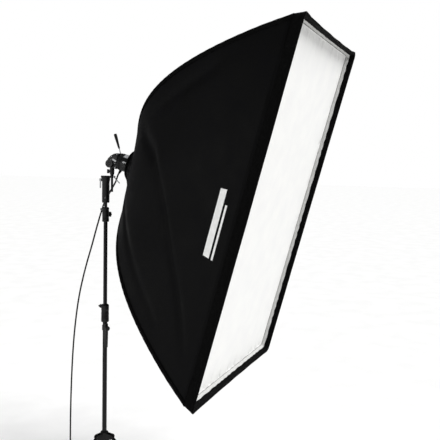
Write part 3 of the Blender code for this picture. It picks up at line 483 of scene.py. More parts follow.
columnY = boxMiddle("base_tube")[1]
lampCable = dict(
    radius=0.0045, coilRadius=0.0495, coilCentre=(-0.0215, 0.356), lowest=0.0056, pitch=0.0092,
    clip=(0.0296, 0.0388, 1.7950), throughClip=(-0.0008, 0.0190, -0.0560), plugRadius=0.019, gap=0.0003,
    held=[(0.0060, -0.0807, 2.0030), (0.0060, -0.0779, 1.9990), (0.0072, -0.0712, 1.9895),
          (0.0145, -0.0610, 1.9730), (0.0255, -0.0480, 1.9530), (0.0330, -0.0320, 1.9310),
          (0.0350, -0.0155, 1.9070), (0.0345, 0.0000, 1.8800), (0.0325, 0.0160, 1.8510), (0.0300, 0.0290, 1.8240)],
    free=[(0.0292, 0.0520, 1.7560), (0.0298, 0.0730, 1.6900), (0.0300, 0.1026, 1.5900), (0.0300, 0.1310, 1.5000),
          (0.0300, 0.1580, 1.4050), (0.0290, 0.1820, 1.3000), (0.0280, 0.2010, 1.1800), (0.0270, 0.2160, 1.0400),
          (0.0265, 0.2265, 0.8800), (0.0260, 0.2330, 0.7100), (0.0255, 0.2360, 0.5400), (0.0250, 0.2365, 0.3800),
          (0.0250, 0.2370, 0.2500), (0.0252, 0.2400, 0.1500), (0.0260, 0.2480, 0.0780), (0.0270, 0.2650, 0.0300),
          (0.0280, 0.2880, 0.0095), (0.0280, 0.3090, 0.0056)])


def ease(values, start, end):
    # a smooth step from 0 at start to 1 at end
    t = np.clip((values - start) / (end - start), 0, 1)
    return t * t * (3 - 2 * t)


def coilRoute():
    # round and round in three columns a cable apart: the inner one rises, the middle one comes down on it and
    # the outer one rises again. Radius and height are smooth steps of the angle wound so far.
    c = lampCable
    half = math.pi
    angle = np.linspace(0, 9 * half, 9 * 14 + 1)[1:]
    column = -ease(angle, 0, half / 2) + ease(angle, 4.5 * half, 5 * half) + ease(angle, 7 * half, 7.5 * half)
    perTurn = 2 * half
    rise = np.clip(angle - half / 2, 0, 4 * half) - np.clip(angle - 5 * half, 0, 2 * half)
    rise = (rise + np.clip(angle - 7.5 * half, 0, 1.5 * half)) / perTurn
    radius = c["coilRadius"] + 1.03 * c["pitch"] * column
    return np.stack([c["coilCentre"][0] + radius * np.cos(angle), c["coilCentre"][1] + radius * np.sin(angle),
                     c["lowest"] + c["pitch"] * rise], -1)


def makeCable():
    c = lampCable
    column = np.array([0, columnY, 0])
    clip, way = np.array(c["clip"]), np.array(c["throughClip"])
    way = way / np.linalg.norm(way)
    leaves = clip + (0.0155 + c["gap"]) * way
    held = smoothRoute([*c["held"], tuple(clip), tuple(leaves)], 0.004) + column
    heights = held[:, 2]
    # the held run is cut into three lengths by height, each made a tube in place
    pieces = [("swivel", heights > 1.955, "flash_head", "receiver", (0, 0, 2.000), (0, 0, 1.958)),
              ("column", (heights <= 1.96) & (heights > 1.868), "receiver", "upper_riser",
               (0, 0, 1.955), (0, 0, 1.872)),
              ("clip", heights <= 1.873, "upper_riser", "lower_riser", (0, 0, 1.868), (0, 0, 1.805))]
    first = 0
    for name, part, above, below, start, end in pieces:
        last = int(np.flatnonzero(part)[-1])
        tube = roundTube("cable_held_" + name, held[first:last + 1], c["radius"], cableSheath, None)
        first = last
        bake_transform(tube)
        if name == "column":
            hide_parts("head_cable")
    coil = coilRoute()
    plugAt = np.array([c["coilCentre"][0] - c["coilRadius"] - 0.006, c["coilCentre"][1] - 0.054,
                       c["plugRadius"] + c["gap"]])
    beforePlug = plugAt + np.array([0.0012, 0.020, 0.0006])
    down = smoothRoute([tuple(leaves), *c["free"], tuple(coil[0])], 0.012)
    turn = smoothRoute([tuple(coil[-2]), tuple(coil[-1]), tuple(beforePlug), tuple(plugAt)], 0.006)
    turn = turn[np.linalg.norm(turn - coil[-1], axis=1).argmin() + 1:]
    route = np.vstack([down, coil[1:], turn]) + column
    cable = roundTube("lamp_cable_flex", route, c["radius"], cableSheath, None, sides=16)
    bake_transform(cable)
    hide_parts("lamp_cable", "cable_coil")
    plug = makePlug(plugAt + column)
    tie = makeTie(column)


def makePlug(start):
    # moulded mains plug seen from its cable end: a ribbed strain relief, a fluted body and three round pins
    way = np.array([-0.25, -1.0, 0.0])
    body = [(0.0, 0.0), (0.0068, 0.0), (0.0084, 0.012), (0.0120, 0.020), (0.0180, 0.024), (0.0180, 0.060),
            (0.0188, 0.062), (0.0188, 0.088), (0.0165, 0.0895), (0.0165, 0.0745), (0.0, 0.0745)]
    plug = turned("cable_plug_body", body, start, way, finishes["black_plastic"], "stand_base", 72,
                  knurl(24, 0.0007, 0.028, 0.058))
    axis, first, second = acrossFrom(way)
    for number, turnBy in enumerate((90, 210, 330)):
        side = math.cos(math.radians(turnBy)) * first + math.sin(math.radians(turnBy)) * second
        at = start + 0.0740 * axis + 0.0085 * side
        pin = turned(f"plug_pin_{number}", [(0, 0), (0.0024, 0), (0.0024, 0.0135), (0, 0.0145)], at, way,
                     finishes["satin_steel"], "stand_base", 20, radius=0.0006)
        pin.parent = plug
        pin.matrix_parent_inverse.identity()
    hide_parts("cable_plug")
    return plug


def makeTie(column):
    # a hook-and-loop strap round the turns: a rounded rectangle loop, radially across the coil
    c = lampCable
    out, along = levelWay(115), levelWay(115 + 90)
    wide, high, halfLength = 0.0146, 0.0132, 0.0072
    t = np.linspace(0, 2 * math.pi, 40, endpoint=False)
    power = 0.35     # a superellipse, nearly a rectangle: signed |cos| to this power
    u = wide * np.sign(np.cos(t)) * np.abs(np.cos(t)) ** power
    v = high * np.sign(np.sin(t)) * np.abs(np.sin(t)) ** power
    middle = np.array([*c["coilCentre"], 0.0146]) + c["coilRadius"] * out + column
    rows = []
    for grow, side in ((0.0, -1), (0.0009, -1), (0.0009, 1), (0.0, 1)):
        scale = 1 + grow / wide
        rows.append(middle + (u * scale)[:, None] * out + (v * scale)[:, None] * np.array([0, 0, 1])
                    + side * halfLength * along)
    points = np.stack(rows)
    mesh = cleanUp(meshOf("cable_tie_strap", points, gridFaces(4, len(t), True, True)))
    return addPiece("cable_tie_strap", mesh, hookLoopStrap, "stand_base", sharp=40)


makeCable()


# Softbox cloth, in the softbox's own frame: ahead along the light, across its width and up its height

ringAt = np.array(joints["softbox_spin"]["pos_m"])
ahead = np.array(joints["softbox_spin"]["axis"])
across = np.array([1.0, 0.0, 0.0])
upward = np.cross(ahead, across)

shell = dict(
    frontWidth=1.20, frontHeight=1.80, depth=0.866, lipDepth=0.052, rearOpening=0.0855, seamEnd=0.842,
    cornerReach=1.075, upperBow=(0.192, 54.8, 1.180, 31.0), lowerBow=(0.259, 52.8, 1.079, 30.8), rodRadius=0.0045,
    rodInset=0.014, cloth=0.0012, rows=150, columns=110, gap=0.0003)
frontSize = np.array([shell["frontWidth"], shell["frontHeight"]])
cornerWay = frontSize / np.linalg.norm(frontSize)
lipBack = shell["depth"] - shell["lipDepth"] - shell["gap"]
seamCorners = ((-1, 1), (1, 1), (1, -1), (-1, -1))     # side and level


def boxPoint(depth, x, z):
    depth, x, z = np.broadcast_arrays(depth, x, z)
    return ringAt + depth[..., None] * ahead + x[..., None] * across + z[..., None] * upward


def seamCurve(bow, t):
    # a cubic Bezier of (depth, distance from the axis): it leaves the ring and meets the front at set angles
    first, rise, second, fall = bow
    start = np.array([0.0, shell["rearOpening"]])
    end = np.array([shell["seamEnd"], shell["cornerReach"]])
    leave = start + first * np.array([math.cos(math.radians(rise)), math.sin(math.radians(rise))])
    arrive = end - second * np.array([math.cos(math.radians(fall)), math.sin(math.radians(fall))])
    t = np.asarray(t, float)[..., None]
    return (1 - t) ** 3 * start + 3 * (1 - t) ** 2 * t * leave + 3 * (1 - t) * t * t * arrive + t ** 3 * end


def bowAt(level):
    return shell["upperBow"] if level > 0 else shell["lowerBow"]


def seamAt(level, depth):
    # the share of its curve that a seam has run at a depth
    t = np.linspace(0, 1, 2001)
    return float(np.interp(depth, seamCurve(bowAt(level), t)[:, 0], t))


def cornerName(side, level):
    return ("upper_" if level > 0 else "lower_") + sideName(side)


def cornerSeam(side, level, t, inset=0.0):
    # points (depth, x, z) of a corner from the ring (t = 0) to the back of the lip (t = 1), moved square inwards
    bow = bowAt(level)
    last = seamAt(level, lipBack)
    place = seamCurve(bow, np.asarray(t) * last)
    if inset:
        step = seamCurve(bow, np.asarray(t) * last + 0.001) - place
        step /= np.linalg.norm(step, axis=-1, keepdims=True)
        place = place + inset * np.stack([step[..., 1], -step[..., 0]], -1)
    return np.stack([place[..., 0], side * cornerWay[0] * place[..., 1], level * cornerWay[1] * place[..., 1]], -1)


rearCorner = cornerSeam(1, 1, 1.0)


def panelShape(first, second, hollow, t, s):
    # a line from one corner seam to the other at each t, round near the ring and drawn in between the rods
    a, b = cornerSeam(*first, t), cornerSeam(*second, t)
    along = (b - a) / np.linalg.norm(b - a, axis=-1, keepdims=True)
    trim = 0.0032
    a, b = a + trim * along, b - trim * along
    flat = a + (b - a) * s[..., None]
    roundness = np.clip(1 - t / 0.40, 0, None) ** 2 - hollow * np.sin(math.pi * np.clip(t, 0, 1)) ** 1.2
    distance = np.hypot(flat[..., 1], flat[..., 2])
    reach = (1 - s) * np.hypot(a[..., 1], a[..., 2]) + s * np.hypot(b[..., 1], b[..., 2])
    grown = (distance + roundness * (reach - distance)) / distance
    return np.stack([flat[..., 0], flat[..., 1] * grown, flat[..., 2] * grown], -1)


def clothFolds(t, s, width, run, seed, creases):
    # outward push in metres: sewn edges pucker, folds fan out from the ring, and listed creases cross the cloth
    rng = np.random.default_rng(seed)
    fromEdge = np.minimum(s, 1 - s) * width
    push = 0.0011 * np.exp(-(fromEdge / 0.030) ** 2) * np.sin(2 * math.pi * run / 0.034 + 3 * np.sin(run * 11))
    fan = np.zeros_like(t)
    for ray in range(9):
        middle, spread = (ray + 0.5 + 0.35 * rng.uniform(-1, 1)) / 9, rng.uniform(0.018, 0.040)
        bend = 0.05 * rng.uniform(-1, 1)
        fan += rng.uniform(0.4, 1.0) * np.exp(-((s - middle - bend * t) / spread) ** 2)
    push -= 0.0042 * fan * np.exp(-t / 0.22) * ease(t, 0.0, 0.06) * ease(fromEdge, 0.0, 0.05)
    loose = np.zeros_like(t)
    for wave in range(5):
        a, b, phase = rng.uniform(3, 9), rng.uniform(2, 7), rng.uniform(0, 2 * math.pi)
        loose += np.sin(a * width * (s - 0.5) * 2.0 + b * run * 2.0 + phase)
    push += 0.0009 * loose * ease(fromEdge, 0.0, 0.12) * ease(1 - t, 0.0, 0.08)
    for path, depth, spread in creases:
        along = np.array(path)
        middle = np.interp(t, along[:, 0], along[:, 1])
        ends = ease(t, along[0, 0], along[0, 0] + 0.12) * ease(1 - t, 1 - along[-1, 0], 1 - along[-1, 0] + 0.05)
        push -= depth * ends * np.exp(-((s - middle) * width / spread) ** 2)
    return push


sidePanels = {
    "panel_left": dict(first=(-1, 1), second=(-1, -1), hollow=0.05, seed=11, creases=[
        ([(0.52, 0.17), (0.71, 0.36), (0.835, 0.61), (0.91, 0.755), (0.985, 0.93)], 0.0085, 0.040),
        ([(0.30, 0.60), (0.60, 0.80), (0.90, 0.93)], 0.0040, 0.030),
        ([(0.35, 0.30), (0.65, 0.15), (0.90, 0.06)], 0.0035, 0.035)]),
    "panel_right": dict(first=(1, -1), second=(1, 1), hollow=0.05, seed=23, creases=[
        ([(0.45, 0.80), (0.72, 0.62), (0.86, 0.40), (0.98, 0.10)], 0.0070, 0.045),
        ([(0.30, 0.35), (0.60, 0.22), (0.92, 0.07)], 0.0040, 0.030)]),
    "panel_top": dict(first=(1, 1), second=(-1, 1), hollow=0.12, seed=37, creases=[
        ([(0.35, 0.62), (0.65, 0.80), (0.95, 0.93)], 0.0050, 0.030),
        ([(0.40, 0.34), (0.70, 0.20), (0.95, 0.07)], 0.0045, 0.030)]),
    "panel_bottom": dict(first=(-1, -1), second=(1, -1), hollow=0.12, seed=41, creases=[
        ([(0.35, 0.40), (0.65, 0.22), (0.95, 0.08)], 0.0050, 0.030),
        ([(0.45, 0.60), (0.72, 0.78), (0.95, 0.92)], 0.0045, 0.030)]),
}


def gridNormals(points):
    # the cross product of the two grid directions, worked out by central differences
    return unit(np.cross(np.gradient(points, axis=0), np.gradient(points, axis=1)))


def unit(vectors):
    return vectors / np.maximum(np.linalg.norm(vectors, axis=-1, keepdims=True), 1e-12)


def setClothMap(mesh, u, v):
    # a map in metres along the cloth, one value for each grid point
    layer = mesh.uv_layers.new(name="cloth")
    corners = np.zeros(len(mesh.loops), np.int32)
    mesh.loops.foreach_get("vertex_index", corners)
    values = np.stack([np.ravel(u), np.ravel(v)], -1)[corners]
    layer.data.foreach_set("uv", values.astype(np.float32).ravel())


def clothSheet(name, points, outward, finish, lining=None, thickness=None):
    # a grid of points as a closed cloth of even thickness, with the map in metres along it
    stepsAcross = np.linalg.norm(np.diff(points, axis=1), axis=-1)
    stepsAlong = np.linalg.norm(np.diff(points, axis=0), axis=-1)
    u = np.c_[np.zeros(len(points)), np.cumsum(stepsAcross, axis=1)]
    v = np.r_[np.zeros((1, points.shape[1])), np.cumsum(stepsAlong, axis=0)]
    v = np.broadcast_to(v.mean(axis=1, keepdims=True), u.shape)
    normals = gridNormals(points)
    faces = gridFaces(*points.shape[:2])
    if (normals * outward).sum(-1).mean() > 0:
        faces = [face[::-1] for face in faces]
    mesh = meshOf(name, points, faces)
    setClothMap(mesh, u - u[:, -1:] / 2, v)
    piece = addPiece(name, mesh, finish, "softbox")
    if lining:
        mesh.materials.append(lining)
    wall = piece.modifiers.new("cloth", "SOLIDIFY")
    wall.thickness = thickness or shell["cloth"]
    wall.offset = -1
    wall.material_offset = 1 if lining else 0
    return piece


def panelPoints(spec, t, s, lift=0.0):
    # the shape in metres, pushed out along its own normal by the folds, and lifted off the cloth
    shape = panelShape(spec["first"], spec["second"], spec["hollow"], t, s)
    points = boxPoint(shape[..., 0], shape[..., 1], shape[..., 2])
    middle = ringAt + 0.45 * ahead
    normals = gridNormals(points)
    normals *= np.sign((normals * (points - middle)).sum(-1).mean())
    width = np.linalg.norm(cornerSeam(*spec["second"], t) - cornerSeam(*spec["first"], t), axis=-1)
    steps = np.linspace(0, 1, 200)
    middleLine = panelShape(spec["first"], spec["second"], spec["hollow"], steps, np.full(200, 0.5))
    lengths = np.r_[0, np.cumsum(np.linalg.norm(np.diff(middleLine, axis=0), axis=-1))]
    push = clothFolds(t, s, width, np.interp(t, steps, lengths), spec["seed"], spec["creases"])
    return points + (push * ease(1 - t, 0, 0.03) + lift)[..., None] * normals, normals


def makePanels():
    t, s = np.meshgrid(np.linspace(0, 1, shell["rows"]) ** 1.15, np.linspace(0, 1, shell["columns"]), indexing="ij")
    for name, spec in sidePanels.items():
        points, normals = panelPoints(spec, t, s)
        piece = clothSheet(name + "_cloth", points, normals, finishes["softbox_fabric"], silverLining)
        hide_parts(name)
    print("panels made")


makePanels()


def makeSeamTapes():
    # a binding tape folded over each corner seam, bulged by the rod beneath, from the ring to the lip
    tape = dict(width=0.040, clear=0.0018, rise=0.0026, rows=120, columns=13)
    t = np.linspace(0.0, 1.0, tape["rows"])
    for side, level in seamCorners:
        name = cornerName(side, level)
        seam = cornerSeam(side, level, t)
        line = boxPoint(seam[:, 0], seam[:, 1], seam[:, 2])
        faces = [spec for spec in sidePanels.values() if (side, level) in (spec["first"], spec["second"])]
        edges = []
        for spec in faces:
            start = spec["first"] == (side, level)
            wide = np.linalg.norm(cornerSeam(*spec["first"], t) - cornerSeam(*spec["second"], t), axis=-1)
            share = np.minimum(tape["width"] / 2 / wide, 0.30)
            inner = panelShape(spec["first"], spec["second"], spec["hollow"], t, share if start else 1 - share)
            edges.append(boxPoint(inner[:, 0], inner[:, 1], inner[:, 2]))
        away = unit(line - (edges[0] + edges[1]) / 2)
        fade = ease(1 - t, 0.0, 0.06)[:, None]
        edges = [edge + tape["clear"] * fade * away for edge in edges]     # clear of the panels' puckers
        # across the tape, a quadratic curve from one cloth to the other whose middle stands on the seam
        q = np.linspace(0, 1, tape["columns"])[None, :, None]
        peak = 2 * (line + (0.0006 + tape["rise"] * fade) * away)[:, None] - 0.5 * (edges[0] + edges[1])[:, None]
        points = (1 - q) ** 2 * edges[0][:, None] + 2 * q * (1 - q) * peak + q * q * edges[1][:, None]
        points = points + tape["rise"] * away[:, None]
        puckers = 0.0006 * np.sin(2 * math.pi * t * 1.3 / 0.030)[:, None, None] * (1 - 4 * (q - 0.5) ** 2)
        points = points + puckers * away[:, None]
        piece = clothSheet("seam_tape_" + name, points, np.broadcast_to(away[:, None], points.shape), bindingTape,
                           thickness=0.0010)
    print("seam tapes made")


makeSeamTapes()


def thinPlate(name, points, normals, thickness, finish, body):
    # a grid of points as a closed plate: its back, its face a thickness out along the normals, and its rim
    rows, columns = points.shape[:2]
    count = rows * columns
    rim = np.concatenate([np.arange(columns), np.arange(1, rows) * columns + columns - 1,
                          count - 2 - np.arange(columns - 1), (rows - 2 - np.arange(rows - 2)) * columns])
    following = np.roll(rim, -1)
    face = gridFaces(rows, columns)
    sides = np.stack([rim, following, following + count, rim + count], -1).tolist()
    mesh = meshOf(name, np.stack([points, points + thickness * normals]),
                  [corners[::-1] for corners in face] + [[c + count for c in corners] for corners in face] + sides)
    return addPiece(name, cleanUp(mesh), finish, body, sharp=40)


def makePrint():
    # a plain double stripe printed on the near side panel, lifted 0.4 mm off the cloth
    spec = sidePanels["panel_left"]
    for name, (low, high), (start, end) in (("wide", (0.9555, 0.9690), (0.435, 0.625)),
                                            ("narrow", (0.9735, 0.9775), (0.475, 0.625))):
        t, s = np.meshgrid(np.linspace(low, high, 10), np.linspace(start, end, 60), indexing="ij")
        points, normals = panelPoints(spec, t, s, 0.0004)
        thinPlate("print_stripe_" + name, points, normals, 0.0003, printInk, "softbox")
    print("print made")


makePrint()


# Front lip, diffuser and baffle

lip = dict(rearHalf=(float(rearCorner[1]), float(rearCorner[2])), frontHalf=(0.600, 0.900), wall=0.006,
           rearDepth=0.8140, frontDepth=0.8655, cornerFront=0.028, cornerRear=0.014, bow=(0.0045, 0.0060),
           cornerPoints=12, edgePoints=70)


def lipCorner(which, angle, halfX, halfZ, radius):
    signX, signZ = np.sign(np.cos(which)), np.sign(np.sin(which))
    return signX * (halfX - radius) + radius * np.cos(angle), signZ * (halfZ - radius) + radius * np.sin(angle)


def lipLoop():
    # a rounded rectangle as (corner before, angle there, corner after, angle there, share of the way)
    quarter = math.pi / 2
    rows = []
    for number in range(4):
        here, after = quarter / 2 + number * quarter, quarter / 2 + (number + 1) * quarter
        arc = np.linspace(number * quarter, (number + 1) * quarter, lip["cornerPoints"])
        rows.append(np.stack([np.full_like(arc, here), arc, np.full_like(arc, here), arc, arc * 0], -1))
        share = np.linspace(0, 1, lip["edgePoints"] + 2)[1:-1]
        turn = np.full_like(share, (number + 1) * quarter)
        rows.append(np.stack([np.full_like(share, here), turn, np.full_like(share, after), turn, share], -1))
    return np.concatenate(rows)


def lipPoints(profile, loop):
    # the loop carried along a profile of (depth, share from rear to front, inset): half sizes and corner
    # radius grow from rear to front, and each edge bows in by a parabola of its own length
    grid = []
    for depth, share, inset in profile:
        halfX = lip["rearHalf"][0] + share * (lip["frontHalf"][0] - lip["rearHalf"][0]) - inset
        halfZ = lip["rearHalf"][1] + share * (lip["frontHalf"][1] - lip["rearHalf"][1]) - inset
        radius = max(lip["cornerRear"] + share * (lip["cornerFront"] - lip["cornerRear"]) - inset, 0.004)
        x1, z1 = lipCorner(loop[:, 0], loop[:, 1], halfX, halfZ, radius)
        x2, z2 = lipCorner(loop[:, 2], loop[:, 3], halfX, halfZ, radius)
        mix = loop[:, 4]
        x, z = x1 + (x2 - x1) * mix, z1 + (z2 - z1) * mix
        slack = 4 * mix * (1 - mix) * share
        ripple = 0.0010 * np.sin(9 * mix * math.pi) * slack
        onSide = np.abs(np.cos(loop[:, 1])) > 0.7
        x = x - np.sign(x) * np.where(onSide, lip["bow"][0] * slack + ripple, 0)
        z = z - np.sign(z) * np.where(onSide, 0, lip["bow"][1] * slack + ripple)
        grid.append(boxPoint(np.full_like(x, depth), x, z))
    return np.stack(grid)


def makeLip():
    # outer wall, a thicker rolled hem at the front with a stitched groove behind it, and the inner wall
    rear, front, wall = lip["rearDepth"], lip["frontDepth"], lip["wall"]
    length = front - rear
    outer = [(rear, 0.0, 0.0), (rear + 0.3 * length, 0.3, 0.0), (front - 0.021, 0.60, 0.0002),
             (front - 0.019, 0.63, 0.0010), (front - 0.017, 0.67, 0.0000), (front - 0.010, 0.81, -0.0006),
             (front - 0.003, 0.94, -0.0003), (front - 0.0008, 0.985, 0.0008), (front, 1.0, 0.0030)]
    inner = [(front - 0.0008, 0.985, 0.0066), (front - 0.004, 0.92, 0.0080), (front - 0.012, 0.77, 0.0078),
             (front - 0.017, 0.67, 0.0070), (front - 0.019, 0.63, 0.0058), (front - 0.021, 0.60, wall + 0.0004),
             (rear + 0.3 * length, 0.3, wall), (rear + 0.0002, 0.0, wall)]
    profile = np.array(outer + inner)
    points = lipPoints(profile, lipLoop())
    mesh = meshOf("front_lip_cloth", points, gridFaces(len(profile), points.shape[1], True, True))
    run = np.r_[0, np.cumsum(np.linalg.norm(np.diff(points[0], axis=0), axis=-1))]
    setClothMap(mesh, np.broadcast_to(run, points.shape[:2]), np.broadcast_to(profile[:, :1], points.shape[:2]))
    shape = bmesh.new()
    shape.from_mesh(mesh)
    bmesh.ops.recalc_face_normals(shape, faces=shape.faces)
    shape.to_mesh(mesh)
    shape.free()
    piece = addPiece("front_lip_cloth", mesh, bindingTape, "softbox", sharp=60)
    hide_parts("front_lip")
    # a reinforcing patch wraps each corner of the lip, about 0.25 m along it
    loop = lipLoop()
    per = lip["cornerPoints"] + lip["edgePoints"]
    for number, name in enumerate(("upper_right", "upper_left", "lower_left", "lower_right")):
        take = np.arange(number * per - 5, number * per + lip["cornerPoints"] + 5) % len(loop)
        fade = np.sin(np.linspace(0, math.pi, len(take))) ** 0.6
        flat = lipPoints([(d, sh, i - 0.0010) for d, sh, i in outer[:-2]], loop[take])
        proud = lipPoints([(d, sh, i - 0.0062) for d, sh, i in outer[:-2]], loop[take])
        patch = flat + (proud - flat) * fade[:, None]
        away = unit(patch - boxPoint(patch[..., 0] * 0 + lip["rearDepth"], 0 * patch[..., 0], 0 * patch[..., 0]))
        cover = clothSheet("corner_patch_" + name, patch, away, bindingTape, thickness=0.0011)
    print("lip made")


makeLip()


def edgePuckers(x, z, halfX, halfZ, seed, depth):
    # pleats square to the hems: narrow Gaussian valleys at random places, leaning a little, each dying away
    # over a few centimetres; many along the top and bottom, few along the sides
    rng = np.random.default_rng(seed)
    push = np.zeros_like(x)
    for half, along, away, count in ((halfX, x, halfZ - z, 54), (halfX, x, halfZ + z, 44),
                                     (halfZ, z, halfX - x, 18), (halfZ, z, halfX + x, 18)):
        for middle in rng.uniform(-half, half, count):
            wide, reach = rng.uniform(0.0035, 0.0080), rng.uniform(0.012, 0.045)
            lean = rng.uniform(-0.6, 0.6)
            push -= rng.uniform(0.4, 1.0) * np.exp(-((along - middle - lean * away) / wide) ** 2 - away / reach)
    return depth * push


def sineSpacing(count, share):
    # from -1 to 1, closer together near the ends
    return np.sin(np.linspace(-1, 1, count) * math.pi / 2 * share) / math.sin(math.pi / 2 * share)


def makeSheetAcross(name, node, halfX, halfZ, depth, bulge, puckers, seed):
    rows, columns = 130, 340
    z, x = np.meshgrid(sineSpacing(rows, 0.97) * halfZ, sineSpacing(columns, 0.55) * halfX, indexing="ij")
    push = bulge * (1 - (x / halfX) ** 2) * (1 - (z / halfZ) ** 2) + edgePuckers(x, z, halfX, halfZ, seed, puckers)
    edge = np.minimum(halfX - np.abs(x), halfZ - np.abs(z))
    push = push * ease(edge, 0, 0.003) + 0.0007 * (1 - ease(edge, 0.020, 0.022))
    points = boxPoint(depth + push, x, z)
    piece = clothSheet(name, points, np.broadcast_to(ahead, points.shape), finishes["diffusion_fabric"],
                       thickness=0.0006)
    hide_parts(node)


diffuserLow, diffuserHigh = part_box("front_diffuser")
diffuser = dict(halfX=(diffuserHigh[0] - diffuserLow[0]) / 2, halfZ=lip["rearHalf"][1] - 0.0075, depth=0.8172)
makeSheetAcross("front_diffuser_cloth", "front_diffuser", diffuser["halfX"], diffuser["halfZ"], diffuser["depth"],
                0.005, 0.0110, 5)
makeSheetAcross("inner_baffle_cloth", "inner_baffle", 0.385, 0.600, 0.4160, 0.006, 0.0020, 8)


def makeDiffuserHem():
    # the diffuser's edge turns forward and is pressed to the lip's inner wall by hook and loop, slightly wavy
    length = lip["frontDepth"] - lip["rearDepth"]
    depths = np.linspace(diffuser["depth"] + 0.0008, diffuser["depth"] + 0.0185, 6)
    points = lipPoints([(d, (d - lip["rearDepth"]) / length, lip["wall"] + 0.0008) for d in depths], lipLoop())
    run = np.cumsum(np.linalg.norm(np.diff(points[0], axis=0, append=points[0, :1]), axis=-1))
    points = points + (np.linspace(0, 0.0016, 6)[:, None] * np.sin(run * 90 + 3 * np.sin(run * 13)))[..., None] * ahead
    closed = np.concatenate([points, points[:, :1]], axis=1)
    axisPoint = ringAt + diffuser["depth"] * ahead
    strip = clothSheet("diffuser_hem", closed, unit(axisPoint - closed), hemTapeInPaintedShade, thickness=0.0006)
    print("diffuser hem made")


makeDiffuserHem()


def makeBaffleElastics():
    # a round elastic from each corner of the baffle to the rod behind the nearest corner seam
    for side, level in seamCorners:
        along = np.array(seamAt(level, 0.416) / seamAt(level, lipBack))
        rod = cornerSeam(side, level, along, shell["rodInset"] + 0.006)
        start = boxPoint(*[np.array(v) for v in (0.4165, side * 0.380, level * 0.595)])
        end = boxPoint(*[np.array(v) for v in rod])
        roundTube("baffle_elastic_" + cornerName(side, level), np.linspace(start, end, 8), 0.0020,
                  finishes["black_rubber"], "softbox", sides=10)
    print("baffle and diffuser made")


makeBaffleElastics()


def makeRods():
    for side, level in seamCorners:
        name = cornerName(side, level)
        finePart("rod_" + name, bevel=0)
        tip = cornerSeam(side, level, np.array([0.955, 0.972]), shell["rodInset"])
        ends = boxPoint(tip[:, 0], tip[:, 1], tip[:, 2])
        turned("rod_ferrule_" + name, [(0.0047, 0), (0.0062, 0.001), (0.0062, 0.016), (0.0047, 0.018)], ends[0],
               unit(ends[1] - ends[0]), finishes["satin_steel"], "softbox", 24, radius=0.0005)
    print("rods made")


makeRods()


def makeRearHem():
    # the cloth's rear edge is rolled over a cord round the speedring: a torus with sewn gathers
    hem = dict(major=shell["rearOpening"] - 0.0005, minor=0.0032, gathers=44)
    a, b = np.meshgrid(np.linspace(0, 2 * math.pi, 220, endpoint=False),
                       np.linspace(0, 2 * math.pi, 12, endpoint=False), indexing="ij")
    minor = hem["minor"] * (1 + 0.16 * np.sin(hem["gathers"] * a + 1.5 * np.sin(5 * a)) * np.cos(b / 2) ** 2)
    distance = hem["major"] + minor * np.cos(b)
    points = boxPoint(-0.0030 + minor * np.sin(b), distance * np.cos(a), distance * np.sin(a))
    mesh = meshOf("rear_hem", points, gridFaces(220, 12, True, True))
    setClothMap(mesh, b * hem["minor"], a * hem["major"])
    cleanUp(mesh)
    addPiece("rear_hem", mesh, bindingTape, "softbox")
    # a loose skirt of cloth gathered from the hem towards the ring hides the gap
    rows, columns = 12, 260
    q, a = np.meshgrid(np.linspace(0, 1, rows), np.linspace(0, 2 * math.pi, columns), indexing="ij")
    wave = 0.0016 * np.sin(26 * a + 2 * np.sin(3 * a)) * np.sin(math.pi * np.clip(q * 0.9 + 0.1, 0, 1))
    distance = hem["major"] - 0.004 * q + wave * 0.4
    depth = -0.002 - 0.0105 * q + wave
    points = boxPoint(depth, distance * np.cos(a), distance * np.sin(a))
    away = unit(points - (ringAt + ahead * 0.05))
    skirt = clothSheet("rear_skirt", points, away, finishes["softbox_fabric"], thickness=0.0007)
    print("rear hem made")


makeRearHem()


# Flash head, in its own frame: depth forward of the tilt axis along the light

tiltAt = np.array(joints["tilt"]["pos_m"])
headStart = ringAt - 0.1315 * ahead


def tiltPoint(x, back, up):
    # a place given from the tilt axis: across, towards the rear, and up, all turned with the head
    return tiltAt + x * across - back * ahead + up * upward


def turnedFor(node, profile, origin, axis, finish=None, segments=72, ripple=None, radius=0.0008):
    # a turned piece that stands for one node of the frame, on its body and in its finish
    piece = turned(node + "_fine", profile, origin, axis, finish or finishes[slots[node]], nodes[node]["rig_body"],
                   segments, ripple, radius)
    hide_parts(node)
    return piece


def smallBlock(name, middle, sides, size, finish, body, bevel=0.0006):
    # a box of size (a, b, c) along the three given directions, with its edges rounded
    corners = np.array([(i, j, k) for i in (-1, 1) for j in (-1, 1) for k in (-1, 1)]) * np.array(size) / 2
    points = np.array(middle) + corners @ np.array(sides)
    faces = [[0, 1, 3, 2], [4, 6, 7, 5], [0, 4, 5, 1], [2, 3, 7, 6], [0, 2, 6, 4], [1, 5, 7, 3]]
    mesh = cleanUp(meshOf(name, points, faces))
    piece = addPiece(name, mesh, finish, body, sharp=40)
    edge = piece.modifiers.new("edges", "BEVEL")
    edge.width = bevel
    edge.segments = 3
    return piece


flash = dict(rear=0.0428, front=0.1775, radius=0.0465, grooves=(0.0570, 0.0612, 0.0654, 0.0696), grooveWide=0.0020,
             grooveDeep=0.0016, bulge=0.0420, filament=0.0270)


